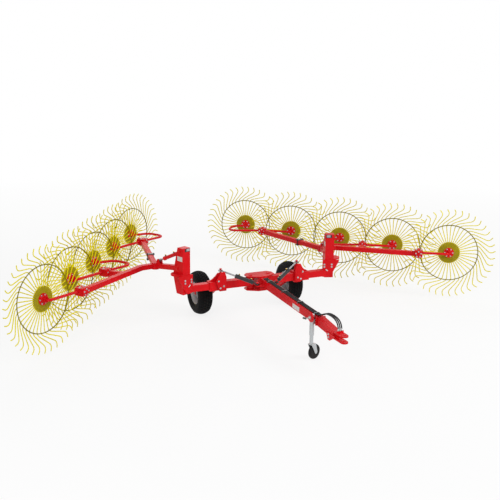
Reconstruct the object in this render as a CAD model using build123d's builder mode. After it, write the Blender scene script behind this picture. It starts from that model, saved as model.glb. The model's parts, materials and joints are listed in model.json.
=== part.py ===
"""Carted V wheel rake: a tongue on a jack, two wing arms with tyres and two banks of tine wheels."""
from build123d import *
import os
from math import cos, radians, sin

# Frame: +Z up from the floor, the hitch points along -Y, and +X is the machine's left side.
# All sizes are in millimetres. The left side is modelled, and the right side is its mirror image.

# Tine wheel
WHEEL_COUNT = 5
TINE_COUNT = 40
WIRE = 7.0
RING_RADIUS = 440.0
PLATE_RADIUS = 170.0
PLATE_THICKNESS = 12.0
TINE_BEND_RADIUS = 458.0
TINE_LEG = 283.0
TINE_LEG_ANGLE = -66.0
TINE_HOOK = 80.0
TINE_HOOK_TURN = 72.0

# Tine wheel hub, running on the spindle of its arm
SPINDLE_RADIUS = 15.0
RUNNING_GAP = 0.06
HUB_RADIUS = 38.0
HUB_FRONT = 70.0
HUB_BACK = 40.0
HUB_FLANGE_RADIUS = 78.0
HUB_FLANGE_THICKNESS = 10.0
END_GAP = 3.0
WASHER_RADIUS = 26.0
WASHER_THICKNESS = 8.0

# Bank of tine wheels, laid out from the front wheel's hub
HUB1_X = 3140.0
HUB1_Y = -745.0
HUB_Z = 750.0
HUB_DROP = 11.0
PLANE_ANGLE = 55.0
PITCH_ALONG = 881.0
PITCH_BACK = 362.0
ARM_REACH = 473.0
ARM_STAND = 222.0
ARM_RISE = 26.0
ARM_CORNER = 110.0
LOOP_TIP = 210.0
LOOP_NEAR = 230.0
LOOP_FAR = 570.0
LOOP_BEND = 160.0
BAR_RADIUS = 19.0
BEND_RADIUS = 42.0
CLAMP_WIDTH = 124.0
CLAMP_HEIGHT = 104.0
TUBE_UNDER = 16.0

# Toolbar of one bank
TOOLBAR_Z = 766.0
TOOLBAR_WIDTH = 70.0
TOOLBAR_WALL = 7.0
KNUCKLE_RADIUS = 56.0
KNUCKLE_HEIGHT = 96.0
BEND_X = 1604.0
BEND_Y = 135.0

# Mast, in its own upright plane through the mast line
MAST_X = 1160.0
MAST_Y = -405.0
MAST_ANGLE = 20.0
MAST_WIDTH = 130.0
MAST_PLATE = 12.0
MAST_BASE_Z = 785.0
MAST_TOP_Z = 1154.0
MAST_FRONT = -80.0
MAST_FOOT_REAR = 125.0
MAST_TOP_REAR = 35.0
FLANGE_RADIUS = 108.0
FLANGE_REACH = 62.0
FLANGE_THICKNESS = 18.0
LIFT_PIVOT_OUT = 40.0
LIFT_PIVOT_Z = 850.0
LIFT_PIN_RADIUS = 15.0
JUNCTION_OUT = 620.0

# Lift cylinder, from the mast's top pin to the ears on the toolbar's stub
LIFT_TOP_OUT = -5.0
LIFT_TOP_Z = 1098.0
LIFT_EYE_OUT = 520.0
LIFT_EYE_Z = 862.0
LIFT_BORE_PIN = 12.0
LIFT_BARREL_RADIUS = 26.0
LIFT_BARREL_END = 335.0
LIFT_ROD_RADIUS = 12.0
LIFT_ROD_BACK = 245.0
LIFT_BORE_BACK = 120.0
EYE_DRIFT = 4.0
EAR_GAP = 44.0
EAR_THICKNESS = 12.0

# Centre frame and king pins
KING_X = 140.0
KING_Y = -430.0
KING_RADIUS = 20.0
KING_BARREL_RADIUS = 52.0
CENTRE_TOP_Z = 640.0
CENTRE_LOW_Z = 456.0
CENTRE_PLATE = 16.0
CENTRE_BACK_Y = -320.0
CENTRE_FRONT_Y = -570.0
CENTRE_HALF_WIDTH = 215.0
FACE_GAP = 2.0

# Wing arm and its sleeve
ARM_Z = 562.0
SLEEVE_DEPTH = 120.0
SLEEVE_HEIGHT = 130.0
SLEEVE_WALL = 10.0
SLEEVE_GAP = 0.3
SLEEVE_START = 545.0
SLEEVE_STEP = 790.0
SLEEVE_END = 1150.0
OUTER_SIZE = 94.0
ARM_END = 770.0
ARM_WALL = 10.0
COLLAR_LENGTH = 100.0
COLLAR_GROWTH = 12.0
FIN_X = 605.0
FIN_TOP_Z = 738.0
FIN_TOP_HALF = 18.0
FIN_TAIL_X = 780.0
FIN_WAIST_X = 658.0
FIN_WAIST_Z = 664.0
FIN_THICKNESS = 22.0
FOOT_LOW_Z = 492.0
FOOT_WALL = 12.0

# Wing cylinder, from the tongue's ear to the fin
WING_BASE_X = 150.0
WING_BASE_Y = -690.0
WING_BASE_Z = 590.0
WING_EYE_Z = 772.0
WING_PIN_RADIUS = 10.0
WING_BALL_RADIUS = 20.0
WING_EYE_BORE = 17.0
SPACER_RADIUS = 14.0
WING_EYE_OUTER = 32.0
TILT_ROOM = 8.0
# The rod's eye at rest, off its pin, so that its drift is shared over the stroke
EYE_REST_X = 2.4
EYE_REST_Y = 1.9
EYE_REST_Z = -0.7
WING_BARREL_RADIUS = 28.0
WING_BARREL_END = 335.0
WING_ROD_RADIUS = 12.0
WING_ROD_BACK = 235.0
WING_BORE_BACK = 105.0
LUG_RADIUS = 28.0
EYE_HEIGHT = 20.0
STUD_HEAD_RADIUS = 18.0
NECK_RADIUS = 10.0
NECK_START = 27.0
NECK_END = 60.0
STUD_HEAD_HEIGHT = 9.0
EAR_PLATE = 14.0

# Tongue, hitch and jack
TONGUE_WIDTH = 100.0
TONGUE_HEIGHT = 110.0
TONGUE_WALL = 8.0
TONGUE_ROOT_Z = 584.0
TONGUE_TIP_Y = -2230.0
TONGUE_TIP_Z = 530.0
HITCH_TIP_Y = -2866.5
HITCH_Z = 486.0
HITCH_GAP = 62.0
HITCH_PLATE = 18.0
HITCH_WIDTH = 96.0
HITCH_FORK = 230.0
HITCH_PIN_RADIUS = 16.5
HITCH_PIN_SETBACK = 45.0
JACK_X = -92.0
JACK_Y = -2190.0
JACK_SLEEVE_RADIUS = 30.0
JACK_LEG_RADIUS = 24.0
JACK_SLIDE_GAP = 0.3
JACK_SLEEVE_LOW = 335.0
JACK_SLEEVE_TOP = 612.0
JACK_LEG_TOP = 480.0
JACK_LEG_LOW = 218.0
CASTER_RADIUS = 98.0
CASTER_WIDTH = 46.0
CASTER_TRAIL = 64.0
CASTER_ANGLE = 23.0
CASTER_AXLE_RADIUS = 8.0
CASTER_SPINDLE_RADIUS = 12.0
CASTER_SPINDLE_LENGTH = 70.0
CASTER_CROWN = 10.0
CASTER_CROWN_LENGTH = 77.0
CASTER_CHEEK = 6.0
CASTER_CHEEK_GAP = 6.0

# Ground wheel
TYRE_X = 741.0
TYRE_Y = 51.0
TYRE_RADIUS = 322.0
TYRE_WIDTH = 215.0
TYRE_CARCASS = 16.0
RIM_RADIUS = 165.0
RIM_WIDTH = 160.0
RIM_WALL = 6.0
RIM_DISC = 8.0
RIM_HUB_RADIUS = 48.0
RIM_HUB_LENGTH = 120.0
AXLE_RADIUS = 20.0
LEG_THICKNESS = 56.0
LEG_BOSS_RADIUS = 52.0

# Hoses on the tongue
HOSE_RADIUS = 8.0
HOSE_XS = (-24.0, 0.0, 24.0)
HOSE_START_Y = -640.0
HOSE_LIFT_Y = -2240.0
HOSE_TOP_Y = -2420.0
HOSE_TOP_Z = 697.0
HOSE_TURN_Z = 675.0
HOSE_END_Y = -2712.0
HOSE_END_Z = 556.0
HOSE_BENDS = (220.0, 150.0, 70.0)

os.makedirs("parts", exist_ok=True)


def write_node(solid, name):
    """Labels one piece and writes its STEP file."""
    solid.label = name
    export_step(solid, f"parts/{name}.step")


def write_sides(solid, name):
    """Writes a left piece and its mirror image on the right."""
    write_node(solid, f"{name}_left")
    with BuildPart() as opposite:
        mirror(solid, about=Plane.YZ)
    write_node(opposite.part, f"{name}_right")


# Directions of one bank: along the wheels' planes, and out of their front faces
ALONG = Vector(sin(radians(PLANE_ANGLE)), -cos(radians(PLANE_ANGLE)), 0)
FRONT = Vector(-cos(radians(PLANE_ANGLE)), -sin(radians(PLANE_ANGLE)), 0)
UP = Vector(0, 0, 1)


def hub_point(index):
    """The hub of the left bank's wheel, 0 at the front."""
    first = Vector(HUB1_X, HUB1_Y, HUB_Z - index * HUB_DROP)
    return first + ALONG * (-index * PITCH_ALONG) + FRONT * (-index * PITCH_BACK)


def clamp_point(index, under=0.0):
    """The clamp that carries the straight arm of a wheel, or a point under it."""
    return hub_point(index) + ALONG * -ARM_REACH + FRONT * ARM_STAND + UP * (ARM_RISE - under)


# Directions of the mast's upright plane: outwards to the rear, and across it
OUT = Vector(sin(radians(MAST_ANGLE)), cos(radians(MAST_ANGLE)), 0)
ACROSS = Vector(cos(radians(MAST_ANGLE)), -sin(radians(MAST_ANGLE)), 0)


def mast_point(out, height, across=0.0):
    """A point in the mast's upright plane."""
    return Vector(MAST_X, MAST_Y, height) + OUT * out + ACROSS * across


def mast_plane(across):
    """The mast's upright plane, drawn with X outwards and Y up."""
    origin = Vector(MAST_X, MAST_Y, 0) + ACROSS * across
    return Plane(origin=origin, x_dir=OUT, z_dir=ACROSS)


def run_plane(start, end):
    """A plane at the start of a run, facing its end, with level X."""
    direction = (end - start).normalized()
    return Plane(origin=start, x_dir=direction.cross(UP).normalized(), z_dir=direction)


def bar(start, end, width, height, mode=Mode.ADD):
    """A square bar from one point to another, in the part being built."""
    with BuildSketch(run_plane(start, end)) as section:
        Rectangle(width, height)
    extrude(section.sketch, amount=(end - start).length, mode=mode)


def rod(start, end, radius, mode=Mode.ADD):
    """A round bar from one point to another, in the part being built."""
    with BuildSketch(run_plane(start, end)) as section:
        Circle(radius)
    extrude(section.sketch, amount=(end - start).length, mode=mode)


def upright(x, y, low, high, radius, mode=Mode.ADD):
    """An upright round bar in the part being built."""
    with BuildSketch(Plane.XY.offset(low)) as section:
        with Locations((x, y)):
            Circle(radius)
    extrude(section.sketch, amount=high - low, mode=mode)


# Tine wheel, once at the origin with its front along +Z
def tine_outline():
    """The outline of one bent tine, as wide as its wire, from the plate to its tip."""
    leg = radians(TINE_LEG_ANGLE)
    hook = radians(TINE_LEG_ANGLE + TINE_HOOK_TURN)
    shoulder = Vector(TINE_BEND_RADIUS, 0)
    knee = shoulder + Vector(cos(leg), sin(leg)) * TINE_LEG
    tip = knee + Vector(cos(hook), sin(hook)) * TINE_HOOK
    path = [Vector(PLATE_RADIUS - WIRE, 0), shoulder, knee, tip]
    headings = [0.0, 0.0, leg, hook, hook]
    sides = ([], [])
    for place, point in enumerate(path):
        before, after = headings[place], headings[place + 1]
        middle = (before + after) / 2
        reach = WIRE / 2 / cos((after - before) / 2)
        offset_step = Vector(-sin(middle), cos(middle)) * reach
        sides[0].append(point + offset_step)
        sides[1].append(point - offset_step)
    return sides[0] + sides[1][::-1]


with BuildPart() as tine_wheel:
    with BuildSketch(Plane.XY.offset(-WIRE / 2)):
        Circle(RING_RADIUS + WIRE / 2)
        Circle(RING_RADIUS - WIRE / 2, mode=Mode.SUBTRACT)
        with PolarLocations(0, TINE_COUNT):
            Polygon(*[(p.X, p.Y) for p in tine_outline()], align=None)
        Circle(PLATE_RADIUS)
    extrude(amount=WIRE)
    with BuildSketch(Plane.XY.offset(-PLATE_THICKNESS / 2)):
        Circle(PLATE_RADIUS)
    extrude(amount=PLATE_THICKNESS)
    with BuildSketch(Plane.XY.offset(-PLATE_THICKNESS / 2)):
        Circle(HUB_RADIUS + SLEEVE_GAP)
    extrude(amount=PLATE_THICKNESS, mode=Mode.SUBTRACT)

with BuildPart() as wheel_hub:
    with BuildSketch(Plane.XZ):
        with BuildLine():
            Polyline(
                (SPINDLE_RADIUS + RUNNING_GAP, -HUB_BACK),
                (HUB_RADIUS, -HUB_BACK),
                (HUB_RADIUS, PLATE_THICKNESS / 2),
                (HUB_FLANGE_RADIUS, PLATE_THICKNESS / 2),
                (HUB_FLANGE_RADIUS, PLATE_THICKNESS / 2 + HUB_FLANGE_THICKNESS),
                (HUB_RADIUS + HUB_FLANGE_THICKNESS, PLATE_THICKNESS / 2 + HUB_FLANGE_THICKNESS),
                (HUB_RADIUS, PLATE_THICKNESS / 2 + 2 * HUB_FLANGE_THICKNESS),
                (HUB_RADIUS, HUB_FRONT),
                (SPINDLE_RADIUS + RUNNING_GAP, HUB_FRONT),
                close=True,
            )
        make_face()
    revolve(axis=Axis.Z)

for index in range(WHEEL_COUNT):
    place = Plane(origin=hub_point(index), x_dir=ALONG, z_dir=FRONT).location
    with BuildPart() as placed_wheel:
        add(tine_wheel.part.moved(place))
    write_sides(placed_wheel.part, f"tine_wheel_{index + 1}")
    with BuildPart() as placed_hub:
        add(wheel_hub.part.moved(place))
    write_sides(placed_hub.part, f"wheel_hub_{index + 1}")


# Wheel arms: round bars bent to a spindle at the hub, two to a clamp behind the first
def spindle(index):
    """The spindle that a tine wheel runs on, with its shoulder and end washer."""
    hub = hub_point(index)
    washer = hub + FRONT * -(HUB_BACK + END_GAP)
    rod(hub + FRONT * (HUB_FRONT + END_GAP), washer, SPINDLE_RADIUS)
    rod(washer, washer + FRONT * -WASHER_THICKNESS, WASHER_RADIUS)


def arm_bar(points, radii):
    """A round bar along runs joined by tangent bends, in the part being built."""
    with BuildLine() as path:
        FilletPolyline(*points, radius=radii)
    with BuildSketch(Plane(origin=path.line @ 0, z_dir=path.line % 0)) as section:
        Circle(BAR_RADIUS)
    sweep(section.sketch, path=path.line)


def clamp(index, mode=Mode.ADD):
    """The block that clamps a toolbar's end to its arms."""
    place = Plane(origin=clamp_point(index, TUBE_UNDER / 2), x_dir=ALONG, z_dir=UP)
    with BuildSketch(place.offset(-CLAMP_HEIGHT / 2)) as section:
        Rectangle(CLAMP_WIDTH, CLAMP_WIDTH)
    extrude(section.sketch, amount=CLAMP_HEIGHT, mode=mode)


def straight_arm(index):
    """An arm from its clamp to the front of the hub, bent back to the spindle."""
    hub = hub_point(index)
    corner = hub + FRONT * ARM_CORNER
    shoulder = hub + FRONT * (HUB_FRONT + END_GAP)
    arm_bar([clamp_point(index), corner, shoulder], [BEND_RADIUS])
    spindle(index)


def loop_arm(index):
    """An arm that turns back on itself in a wide loop before the spindle."""
    hub = hub_point(index)
    outer = hub + ALONG * -LOOP_TIP + FRONT * LOOP_FAR
    tip = hub + ALONG * -LOOP_TIP + FRONT * LOOP_NEAR
    corner = hub + FRONT * ARM_CORNER
    shoulder = hub + FRONT * (HUB_FRONT + END_GAP)
    points = [clamp_point(index - 1), outer, tip, corner, shoulder]
    arm_bar(points, [LOOP_BEND, LOOP_BEND, BEND_RADIUS])
    spindle(index)


with BuildPart() as wheel_arms:
    clamp(0)
    straight_arm(0)
    for front_wheel in (1, 3):
        clamp(front_wheel)
        straight_arm(front_wheel)
        loop_arm(front_wheel + 1)
write_sides(wheel_arms.part, "wheel_arms")

# Toolbar: a stub from the mast, a rear tube and a bent front tube with a branch
lift_pivot = mast_point(LIFT_PIVOT_OUT, LIFT_PIVOT_Z)
junction = mast_point(JUNCTION_OUT, TOOLBAR_Z)
bend = Vector(BEND_X, BEND_Y, TOOLBAR_Z)
front_end = clamp_point(0, TUBE_UNDER)
branch_end = clamp_point(1, TUBE_UNDER)
rear_end = clamp_point(3, TUBE_UNDER)
front_run = front_end - bend
branch_share = (branch_end - bend).dot(front_run) / front_run.dot(front_run)
branch_root = bend + front_run * branch_share
TUBES = (
    # start, end
    (lift_pivot, junction),
    (junction, bend),
    (bend, front_end),
    (branch_root, branch_end),
    (junction, rear_end),
)
stub_run = (junction - lift_pivot).normalized()
inner_width = TOOLBAR_WIDTH - 2 * TOOLBAR_WALL
eye_length = MAST_WIDTH - 2 * MAST_PLATE - 2 * END_GAP
ear_pin = mast_point(LIFT_EYE_OUT, LIFT_EYE_Z)
ear_radius = LIFT_BORE_PIN + EAR_THICKNESS

half_tube = TOOLBAR_WIDTH / 2
half_knuckle = KNUCKLE_HEIGHT / 2
with BuildPart() as toolbar:
    for start, end in TUBES:
        bar(start, end, TOOLBAR_WIDTH, TOOLBAR_WIDTH)
    upright(bend.X, bend.Y, TOOLBAR_Z - half_tube, TOOLBAR_Z + half_tube, half_tube)
    for start, end in TUBES[1:]:
        bar(start, end, inner_width, inner_width, mode=Mode.SUBTRACT)
    bar(lift_pivot + stub_run * TOOLBAR_WIDTH, junction, inner_width, inner_width, mode=Mode.SUBTRACT)
    upright(junction.X, junction.Y, TOOLBAR_Z - half_knuckle, TOOLBAR_Z + half_knuckle, KNUCKLE_RADIUS)
    for index in (0, 1, 3):
        clamp(index, mode=Mode.SUBTRACT)
    rod(lift_pivot + ACROSS * (-eye_length / 2), lift_pivot + ACROSS * (eye_length / 2), half_tube)
    rod(
        lift_pivot + ACROSS * -eye_length,
        lift_pivot + ACROSS * eye_length,
        LIFT_PIN_RADIUS + RUNNING_GAP,
        mode=Mode.SUBTRACT,
    )
    for side in (-1, 1):
        with BuildSketch(mast_plane(side * (EAR_GAP + EAR_THICKNESS) / 2)):
            with Locations((LIFT_EYE_OUT, LIFT_EYE_Z)):
                Circle(ear_radius)
            with Locations((LIFT_EYE_OUT, TOOLBAR_Z + half_tube)):
                Rectangle(3 * ear_radius, EAR_THICKNESS)
            make_hull()
        extrude(amount=EAR_THICKNESS / 2, both=True)
    rod(
        ear_pin + ACROSS * -(EAR_GAP / 2 + EAR_THICKNESS),
        ear_pin + ACROSS * (EAR_GAP / 2 + EAR_THICKNESS),
        LIFT_BORE_PIN,
    )
write_sides(toolbar.part, "toolbar")

# Mast: two tapered side plates on a base plate, joined at the front and capped
inner_across = MAST_WIDTH / 2 - MAST_PLATE
with BuildPart() as mast:
    for side in (-1, 1):
        with BuildSketch(mast_plane(side * (inner_across + MAST_PLATE / 2))):
            with BuildLine():
                Polyline(
                    (MAST_FRONT, MAST_BASE_Z),
                    (MAST_FOOT_REAR, MAST_BASE_Z),
                    (MAST_FOOT_REAR, MAST_BASE_Z + 2 * MAST_PLATE),
                    (MAST_TOP_REAR, MAST_TOP_Z),
                    (MAST_FRONT, MAST_TOP_Z),
                    close=True,
                )
            make_face()
        extrude(amount=MAST_PLATE / 2, both=True)
    with BuildSketch(mast_plane(0)):
        with Locations((MAST_FRONT + MAST_PLATE / 2, (MAST_BASE_Z + MAST_TOP_Z) / 2)):
            Rectangle(MAST_PLATE, MAST_TOP_Z - MAST_BASE_Z)
        with Locations(((MAST_FRONT + MAST_TOP_REAR) / 2, MAST_TOP_Z - MAST_PLATE / 2)):
            Rectangle(MAST_TOP_REAR - MAST_FRONT, MAST_PLATE)
        with Locations(((MAST_FRONT + MAST_FOOT_REAR) / 2, MAST_BASE_Z + MAST_PLATE / 2)):
            Rectangle(MAST_FOOT_REAR - MAST_FRONT, MAST_PLATE)
    extrude(amount=inner_across, both=True)
    rod(lift_pivot + ACROSS * (-MAST_WIDTH / 2), lift_pivot + ACROSS * (MAST_WIDTH / 2), LIFT_PIN_RADIUS)
    lift_top = mast_point(LIFT_TOP_OUT, LIFT_TOP_Z)
    rod(lift_top + ACROSS * (-MAST_WIDTH / 2), lift_top + ACROSS * (MAST_WIDTH / 2), LIFT_BORE_PIN)
write_sides(mast.part, "mast")

# Lift cylinder
lift_run = (ear_pin - lift_top).normalized()
with BuildPart() as lift_barrel:
    rod(lift_top, lift_top + lift_run * LIFT_BARREL_END, LIFT_BARREL_RADIUS)
    rod(lift_top + ACROSS * (-EAR_GAP / 2), lift_top + ACROSS * (EAR_GAP / 2), LIFT_BARREL_RADIUS)
    rod(
        lift_top + ACROSS * -EAR_GAP,
        lift_top + ACROSS * EAR_GAP,
        LIFT_BORE_PIN + RUNNING_GAP,
        mode=Mode.SUBTRACT,
    )
    rod(
        lift_top + lift_run * LIFT_BORE_BACK,
        lift_top + lift_run * (LIFT_BARREL_END + END_GAP),
        LIFT_ROD_RADIUS + SLEEVE_GAP,
        mode=Mode.SUBTRACT,
    )
write_sides(lift_barrel.part, "lift_barrel")

with BuildPart() as lift_rod:
    rod(lift_top + lift_run * LIFT_ROD_BACK, ear_pin, LIFT_ROD_RADIUS)
    rod(
        ear_pin + ACROSS * (-EAR_GAP / 2 + END_GAP),
        ear_pin + ACROSS * (EAR_GAP / 2 - END_GAP),
        ear_radius + EYE_DRIFT,
    )
    rod(
        ear_pin + ACROSS * -EAR_GAP,
        ear_pin + ACROSS * EAR_GAP,
        LIFT_BORE_PIN + EYE_DRIFT,
        mode=Mode.SUBTRACT,
    )
write_sides(lift_rod.part, "lift_rod")

# Centre frame: two plates on a web, with the king pins through them
with BuildPart() as centre_frame:
    for low in (CENTRE_TOP_Z, CENTRE_LOW_Z - CENTRE_PLATE):
        with BuildSketch(Plane.XY.offset(low)):
            with BuildLine():
                Polyline(
                    (CENTRE_HALF_WIDTH, KING_Y + KING_BARREL_RADIUS),
                    (CENTRE_HALF_WIDTH - KING_BARREL_RADIUS, CENTRE_BACK_Y),
                    (KING_BARREL_RADIUS - CENTRE_HALF_WIDTH, CENTRE_BACK_Y),
                    (-CENTRE_HALF_WIDTH, KING_Y + KING_BARREL_RADIUS),
                    (-CENTRE_HALF_WIDTH, KING_Y - KING_BARREL_RADIUS),
                    (-TONGUE_WIDTH / 2 - CENTRE_PLATE, CENTRE_FRONT_Y),
                    (TONGUE_WIDTH / 2 + CENTRE_PLATE, CENTRE_FRONT_Y),
                    (CENTRE_HALF_WIDTH, KING_Y - KING_BARREL_RADIUS),
                    close=True,
                )
            make_face()
        extrude(amount=CENTRE_PLATE)
    with BuildSketch(Plane.XY.offset(CENTRE_LOW_Z)):
        with Locations((0, (CENTRE_BACK_Y + CENTRE_FRONT_Y) / 2)):
            Rectangle(TONGUE_WIDTH, CENTRE_BACK_Y - CENTRE_FRONT_Y)
            Rectangle(
                TONGUE_WIDTH - 2 * CENTRE_PLATE,
                CENTRE_BACK_Y - CENTRE_FRONT_Y - 2 * CENTRE_PLATE,
                mode=Mode.SUBTRACT,
            )
    extrude(amount=CENTRE_TOP_Z - CENTRE_LOW_Z)
    with BuildSketch(Plane.XY.offset(CENTRE_LOW_Z - CENTRE_PLATE)):
        with Locations((0, (CENTRE_BACK_Y + CENTRE_FRONT_Y) / 2)):
            Rectangle(
                TONGUE_WIDTH - 2 * CENTRE_PLATE,
                CENTRE_BACK_Y - CENTRE_FRONT_Y - 2 * CENTRE_PLATE,
            )
    extrude(amount=CENTRE_PLATE, mode=Mode.SUBTRACT)
    for side in (-1, 1):
        upright(side * KING_X, KING_Y, CENTRE_LOW_Z, CENTRE_TOP_Z, KING_RADIUS)
        upright(
            side * KING_X,
            KING_Y,
            CENTRE_TOP_Z + CENTRE_PLATE,
            CENTRE_TOP_Z + CENTRE_PLATE + STUD_HEAD_HEIGHT,
            KING_RADIUS + STUD_HEAD_HEIGHT,
        )
write_node(centre_frame.part, "centre_frame")

# Wing arm: a barrel on the king pin and a box beam inside the sleeve
arm_depth = SLEEVE_DEPTH - 2 * SLEEVE_WALL - 2 * SLEEVE_GAP
arm_height = SLEEVE_HEIGHT - 2 * SLEEVE_WALL - 2 * SLEEVE_GAP
arm_start = Vector(KING_X, KING_Y, ARM_Z)
arm_end = Vector(ARM_END, KING_Y, ARM_Z)
with BuildPart() as wing_arm:
    upright(KING_X, KING_Y, CENTRE_LOW_Z + FACE_GAP, CENTRE_TOP_Z - FACE_GAP, KING_BARREL_RADIUS)
    bar(arm_start, arm_end, arm_depth, arm_height)
    bar(
        arm_start + Vector(KING_BARREL_RADIUS + ARM_WALL, 0, 0),
        arm_end,
        arm_depth - 2 * ARM_WALL,
        arm_height - 2 * ARM_WALL,
        mode=Mode.SUBTRACT,
    )
    upright(KING_X, KING_Y, CENTRE_LOW_Z, CENTRE_TOP_Z, KING_RADIUS + RUNNING_GAP, mode=Mode.SUBTRACT)
write_sides(wing_arm.part, "wing_arm")

# Wing sleeve: a box tube with a collar, a fin for the cylinder and the mast's foot
sleeve_start = Vector(SLEEVE_START, KING_Y, ARM_Z)
sleeve_end = Vector(SLEEVE_END, KING_Y, ARM_Z)
sleeve_step = Vector(SLEEVE_STEP, KING_Y, ARM_Z)
collar_end = sleeve_start + Vector(COLLAR_LENGTH, 0, 0)
sleeve_top = ARM_Z + SLEEVE_HEIGHT / 2
foot_top = MAST_BASE_Z - FLANGE_THICKNESS
half_eye = EYE_HEIGHT / 2
eye_room = half_eye + TILT_ROOM
with BuildPart() as wing_sleeve:
    bar(sleeve_start, sleeve_step, SLEEVE_DEPTH, SLEEVE_HEIGHT)
    bar(sleeve_step, sleeve_end, OUTER_SIZE, OUTER_SIZE)
    bar(sleeve_start, collar_end, SLEEVE_DEPTH + 2 * COLLAR_GROWTH, SLEEVE_HEIGHT + 2 * COLLAR_GROWTH)
    with BuildSketch(mast_plane(0)):
        with BuildLine():
            Polyline(
                (MAST_FRONT, foot_top),
                (MAST_FOOT_REAR + MAST_PLATE, foot_top),
                (MAST_FOOT_REAR - 2 * MAST_PLATE, ARM_Z + SLEEVE_HEIGHT / 2),
                (MAST_FOOT_REAR / 2, FOOT_LOW_Z),
                (MAST_FRONT, FOOT_LOW_Z),
                close=True,
            )
        make_face()
    extrude(amount=MAST_WIDTH / 2, both=True)
    with BuildSketch(mast_plane(0)):
        with BuildLine():
            Polyline(
                (MAST_FRONT + FOOT_WALL, foot_top),
                (MAST_FOOT_REAR - FOOT_WALL, foot_top),
                (MAST_FOOT_REAR - 2 * MAST_PLATE - FOOT_WALL, ARM_Z + SLEEVE_HEIGHT / 2),
                (MAST_FOOT_REAR / 2 - FOOT_WALL, FOOT_LOW_Z),
                (MAST_FRONT + FOOT_WALL, FOOT_LOW_Z),
                close=True,
            )
        make_face()
    extrude(amount=inner_across, both=True, mode=Mode.SUBTRACT)
    bar(
        sleeve_start,
        sleeve_step - Vector(SLEEVE_WALL, 0, 0),
        SLEEVE_DEPTH - 2 * SLEEVE_WALL,
        SLEEVE_HEIGHT - 2 * SLEEVE_WALL,
        mode=Mode.SUBTRACT,
    )
    outer_bore = OUTER_SIZE - 2 * SLEEVE_WALL
    bar(sleeve_step, sleeve_end, outer_bore, outer_bore, mode=Mode.SUBTRACT)
    with BuildSketch(Plane(origin=mast_point(0, foot_top), x_dir=ACROSS, z_dir=UP)):
        with Locations((0, (MAST_FRONT + MAST_FOOT_REAR) / 2)):
            Rectangle(MAST_WIDTH, MAST_FOOT_REAR - MAST_FRONT)
        with Locations((FLANGE_REACH, (MAST_FRONT + MAST_FOOT_REAR) / 2)):
            Circle(FLANGE_RADIUS)
        make_hull()
    extrude(amount=FLANGE_THICKNESS)
    with BuildSketch(Plane.XZ.offset(-KING_Y)):
        with BuildLine():
            lug_left = (FIN_X - FIN_TOP_HALF, FIN_TOP_Z)
            lug_right = (FIN_X + FIN_TOP_HALF, FIN_TOP_Z)
            heel = (SLEEVE_START + COLLAR_GROWTH, sleeve_top)
            tail = (FIN_TAIL_X, sleeve_top)
            buried = sleeve_top - SLEEVE_WALL
            Polyline(tail, (FIN_TAIL_X, buried), (heel[0], buried), heel, lug_left, lug_right)
            ThreePointArc(lug_right, (FIN_WAIST_X, FIN_WAIST_Z), tail)
        make_face()
    extrude(amount=FIN_THICKNESS / 2, both=True)
    upright(FIN_X, KING_Y, FIN_TOP_Z - EAR_PLATE, FIN_TOP_Z, LUG_RADIUS)
    upright(FIN_X, KING_Y, FIN_TOP_Z, WING_EYE_Z - eye_room, SPACER_RADIUS)
    upright(FIN_X, KING_Y, FIN_TOP_Z, WING_EYE_Z + eye_room, WING_PIN_RADIUS)
    upright(FIN_X, KING_Y, WING_EYE_Z + eye_room, WING_EYE_Z + eye_room + STUD_HEAD_HEIGHT, STUD_HEAD_RADIUS)
write_sides(wing_sleeve.part, "wing_sleeve")

# Wing cylinder: its base turns on a ball, and its rod's eye has room to tilt on its pin
wing_base = Vector(WING_BASE_X, WING_BASE_Y, WING_BASE_Z)
wing_eye = Vector(FIN_X + EYE_REST_X, KING_Y + EYE_REST_Y, WING_EYE_Z + EYE_REST_Z)
wing_run = (wing_eye - wing_base).normalized()
with BuildPart() as wing_barrel:
    rod(wing_base + wing_run * NECK_END, wing_base + wing_run * WING_BARREL_END, WING_BARREL_RADIUS)
    rod(wing_base + wing_run * NECK_START, wing_base + wing_run * NECK_END, NECK_RADIUS)
    upright(WING_BASE_X, WING_BASE_Y, WING_BASE_Z - half_eye, WING_BASE_Z + half_eye, WING_EYE_OUTER)
    with Locations(wing_base):
        Sphere(WING_BALL_RADIUS + SLEEVE_GAP, mode=Mode.SUBTRACT)
    rod(
        wing_base + wing_run * WING_BORE_BACK,
        wing_base + wing_run * (WING_BARREL_END + END_GAP),
        WING_ROD_RADIUS + SLEEVE_GAP,
        mode=Mode.SUBTRACT,
    )
write_sides(wing_barrel.part, "wing_barrel")

with BuildPart() as wing_rod:
    rod(wing_base + wing_run * WING_ROD_BACK, wing_eye - wing_run * NECK_END, WING_ROD_RADIUS)
    rod(wing_eye - wing_run * NECK_END, wing_eye - wing_run * NECK_START, NECK_RADIUS)
    upright(wing_eye.X, wing_eye.Y, wing_eye.Z - half_eye, wing_eye.Z + half_eye, WING_EYE_OUTER)
    upright(
        wing_eye.X,
        wing_eye.Y,
        wing_eye.Z - EYE_HEIGHT,
        wing_eye.Z + EYE_HEIGHT,
        WING_EYE_BORE,
        mode=Mode.SUBTRACT,
    )
write_sides(wing_rod.part, "wing_rod")

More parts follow.
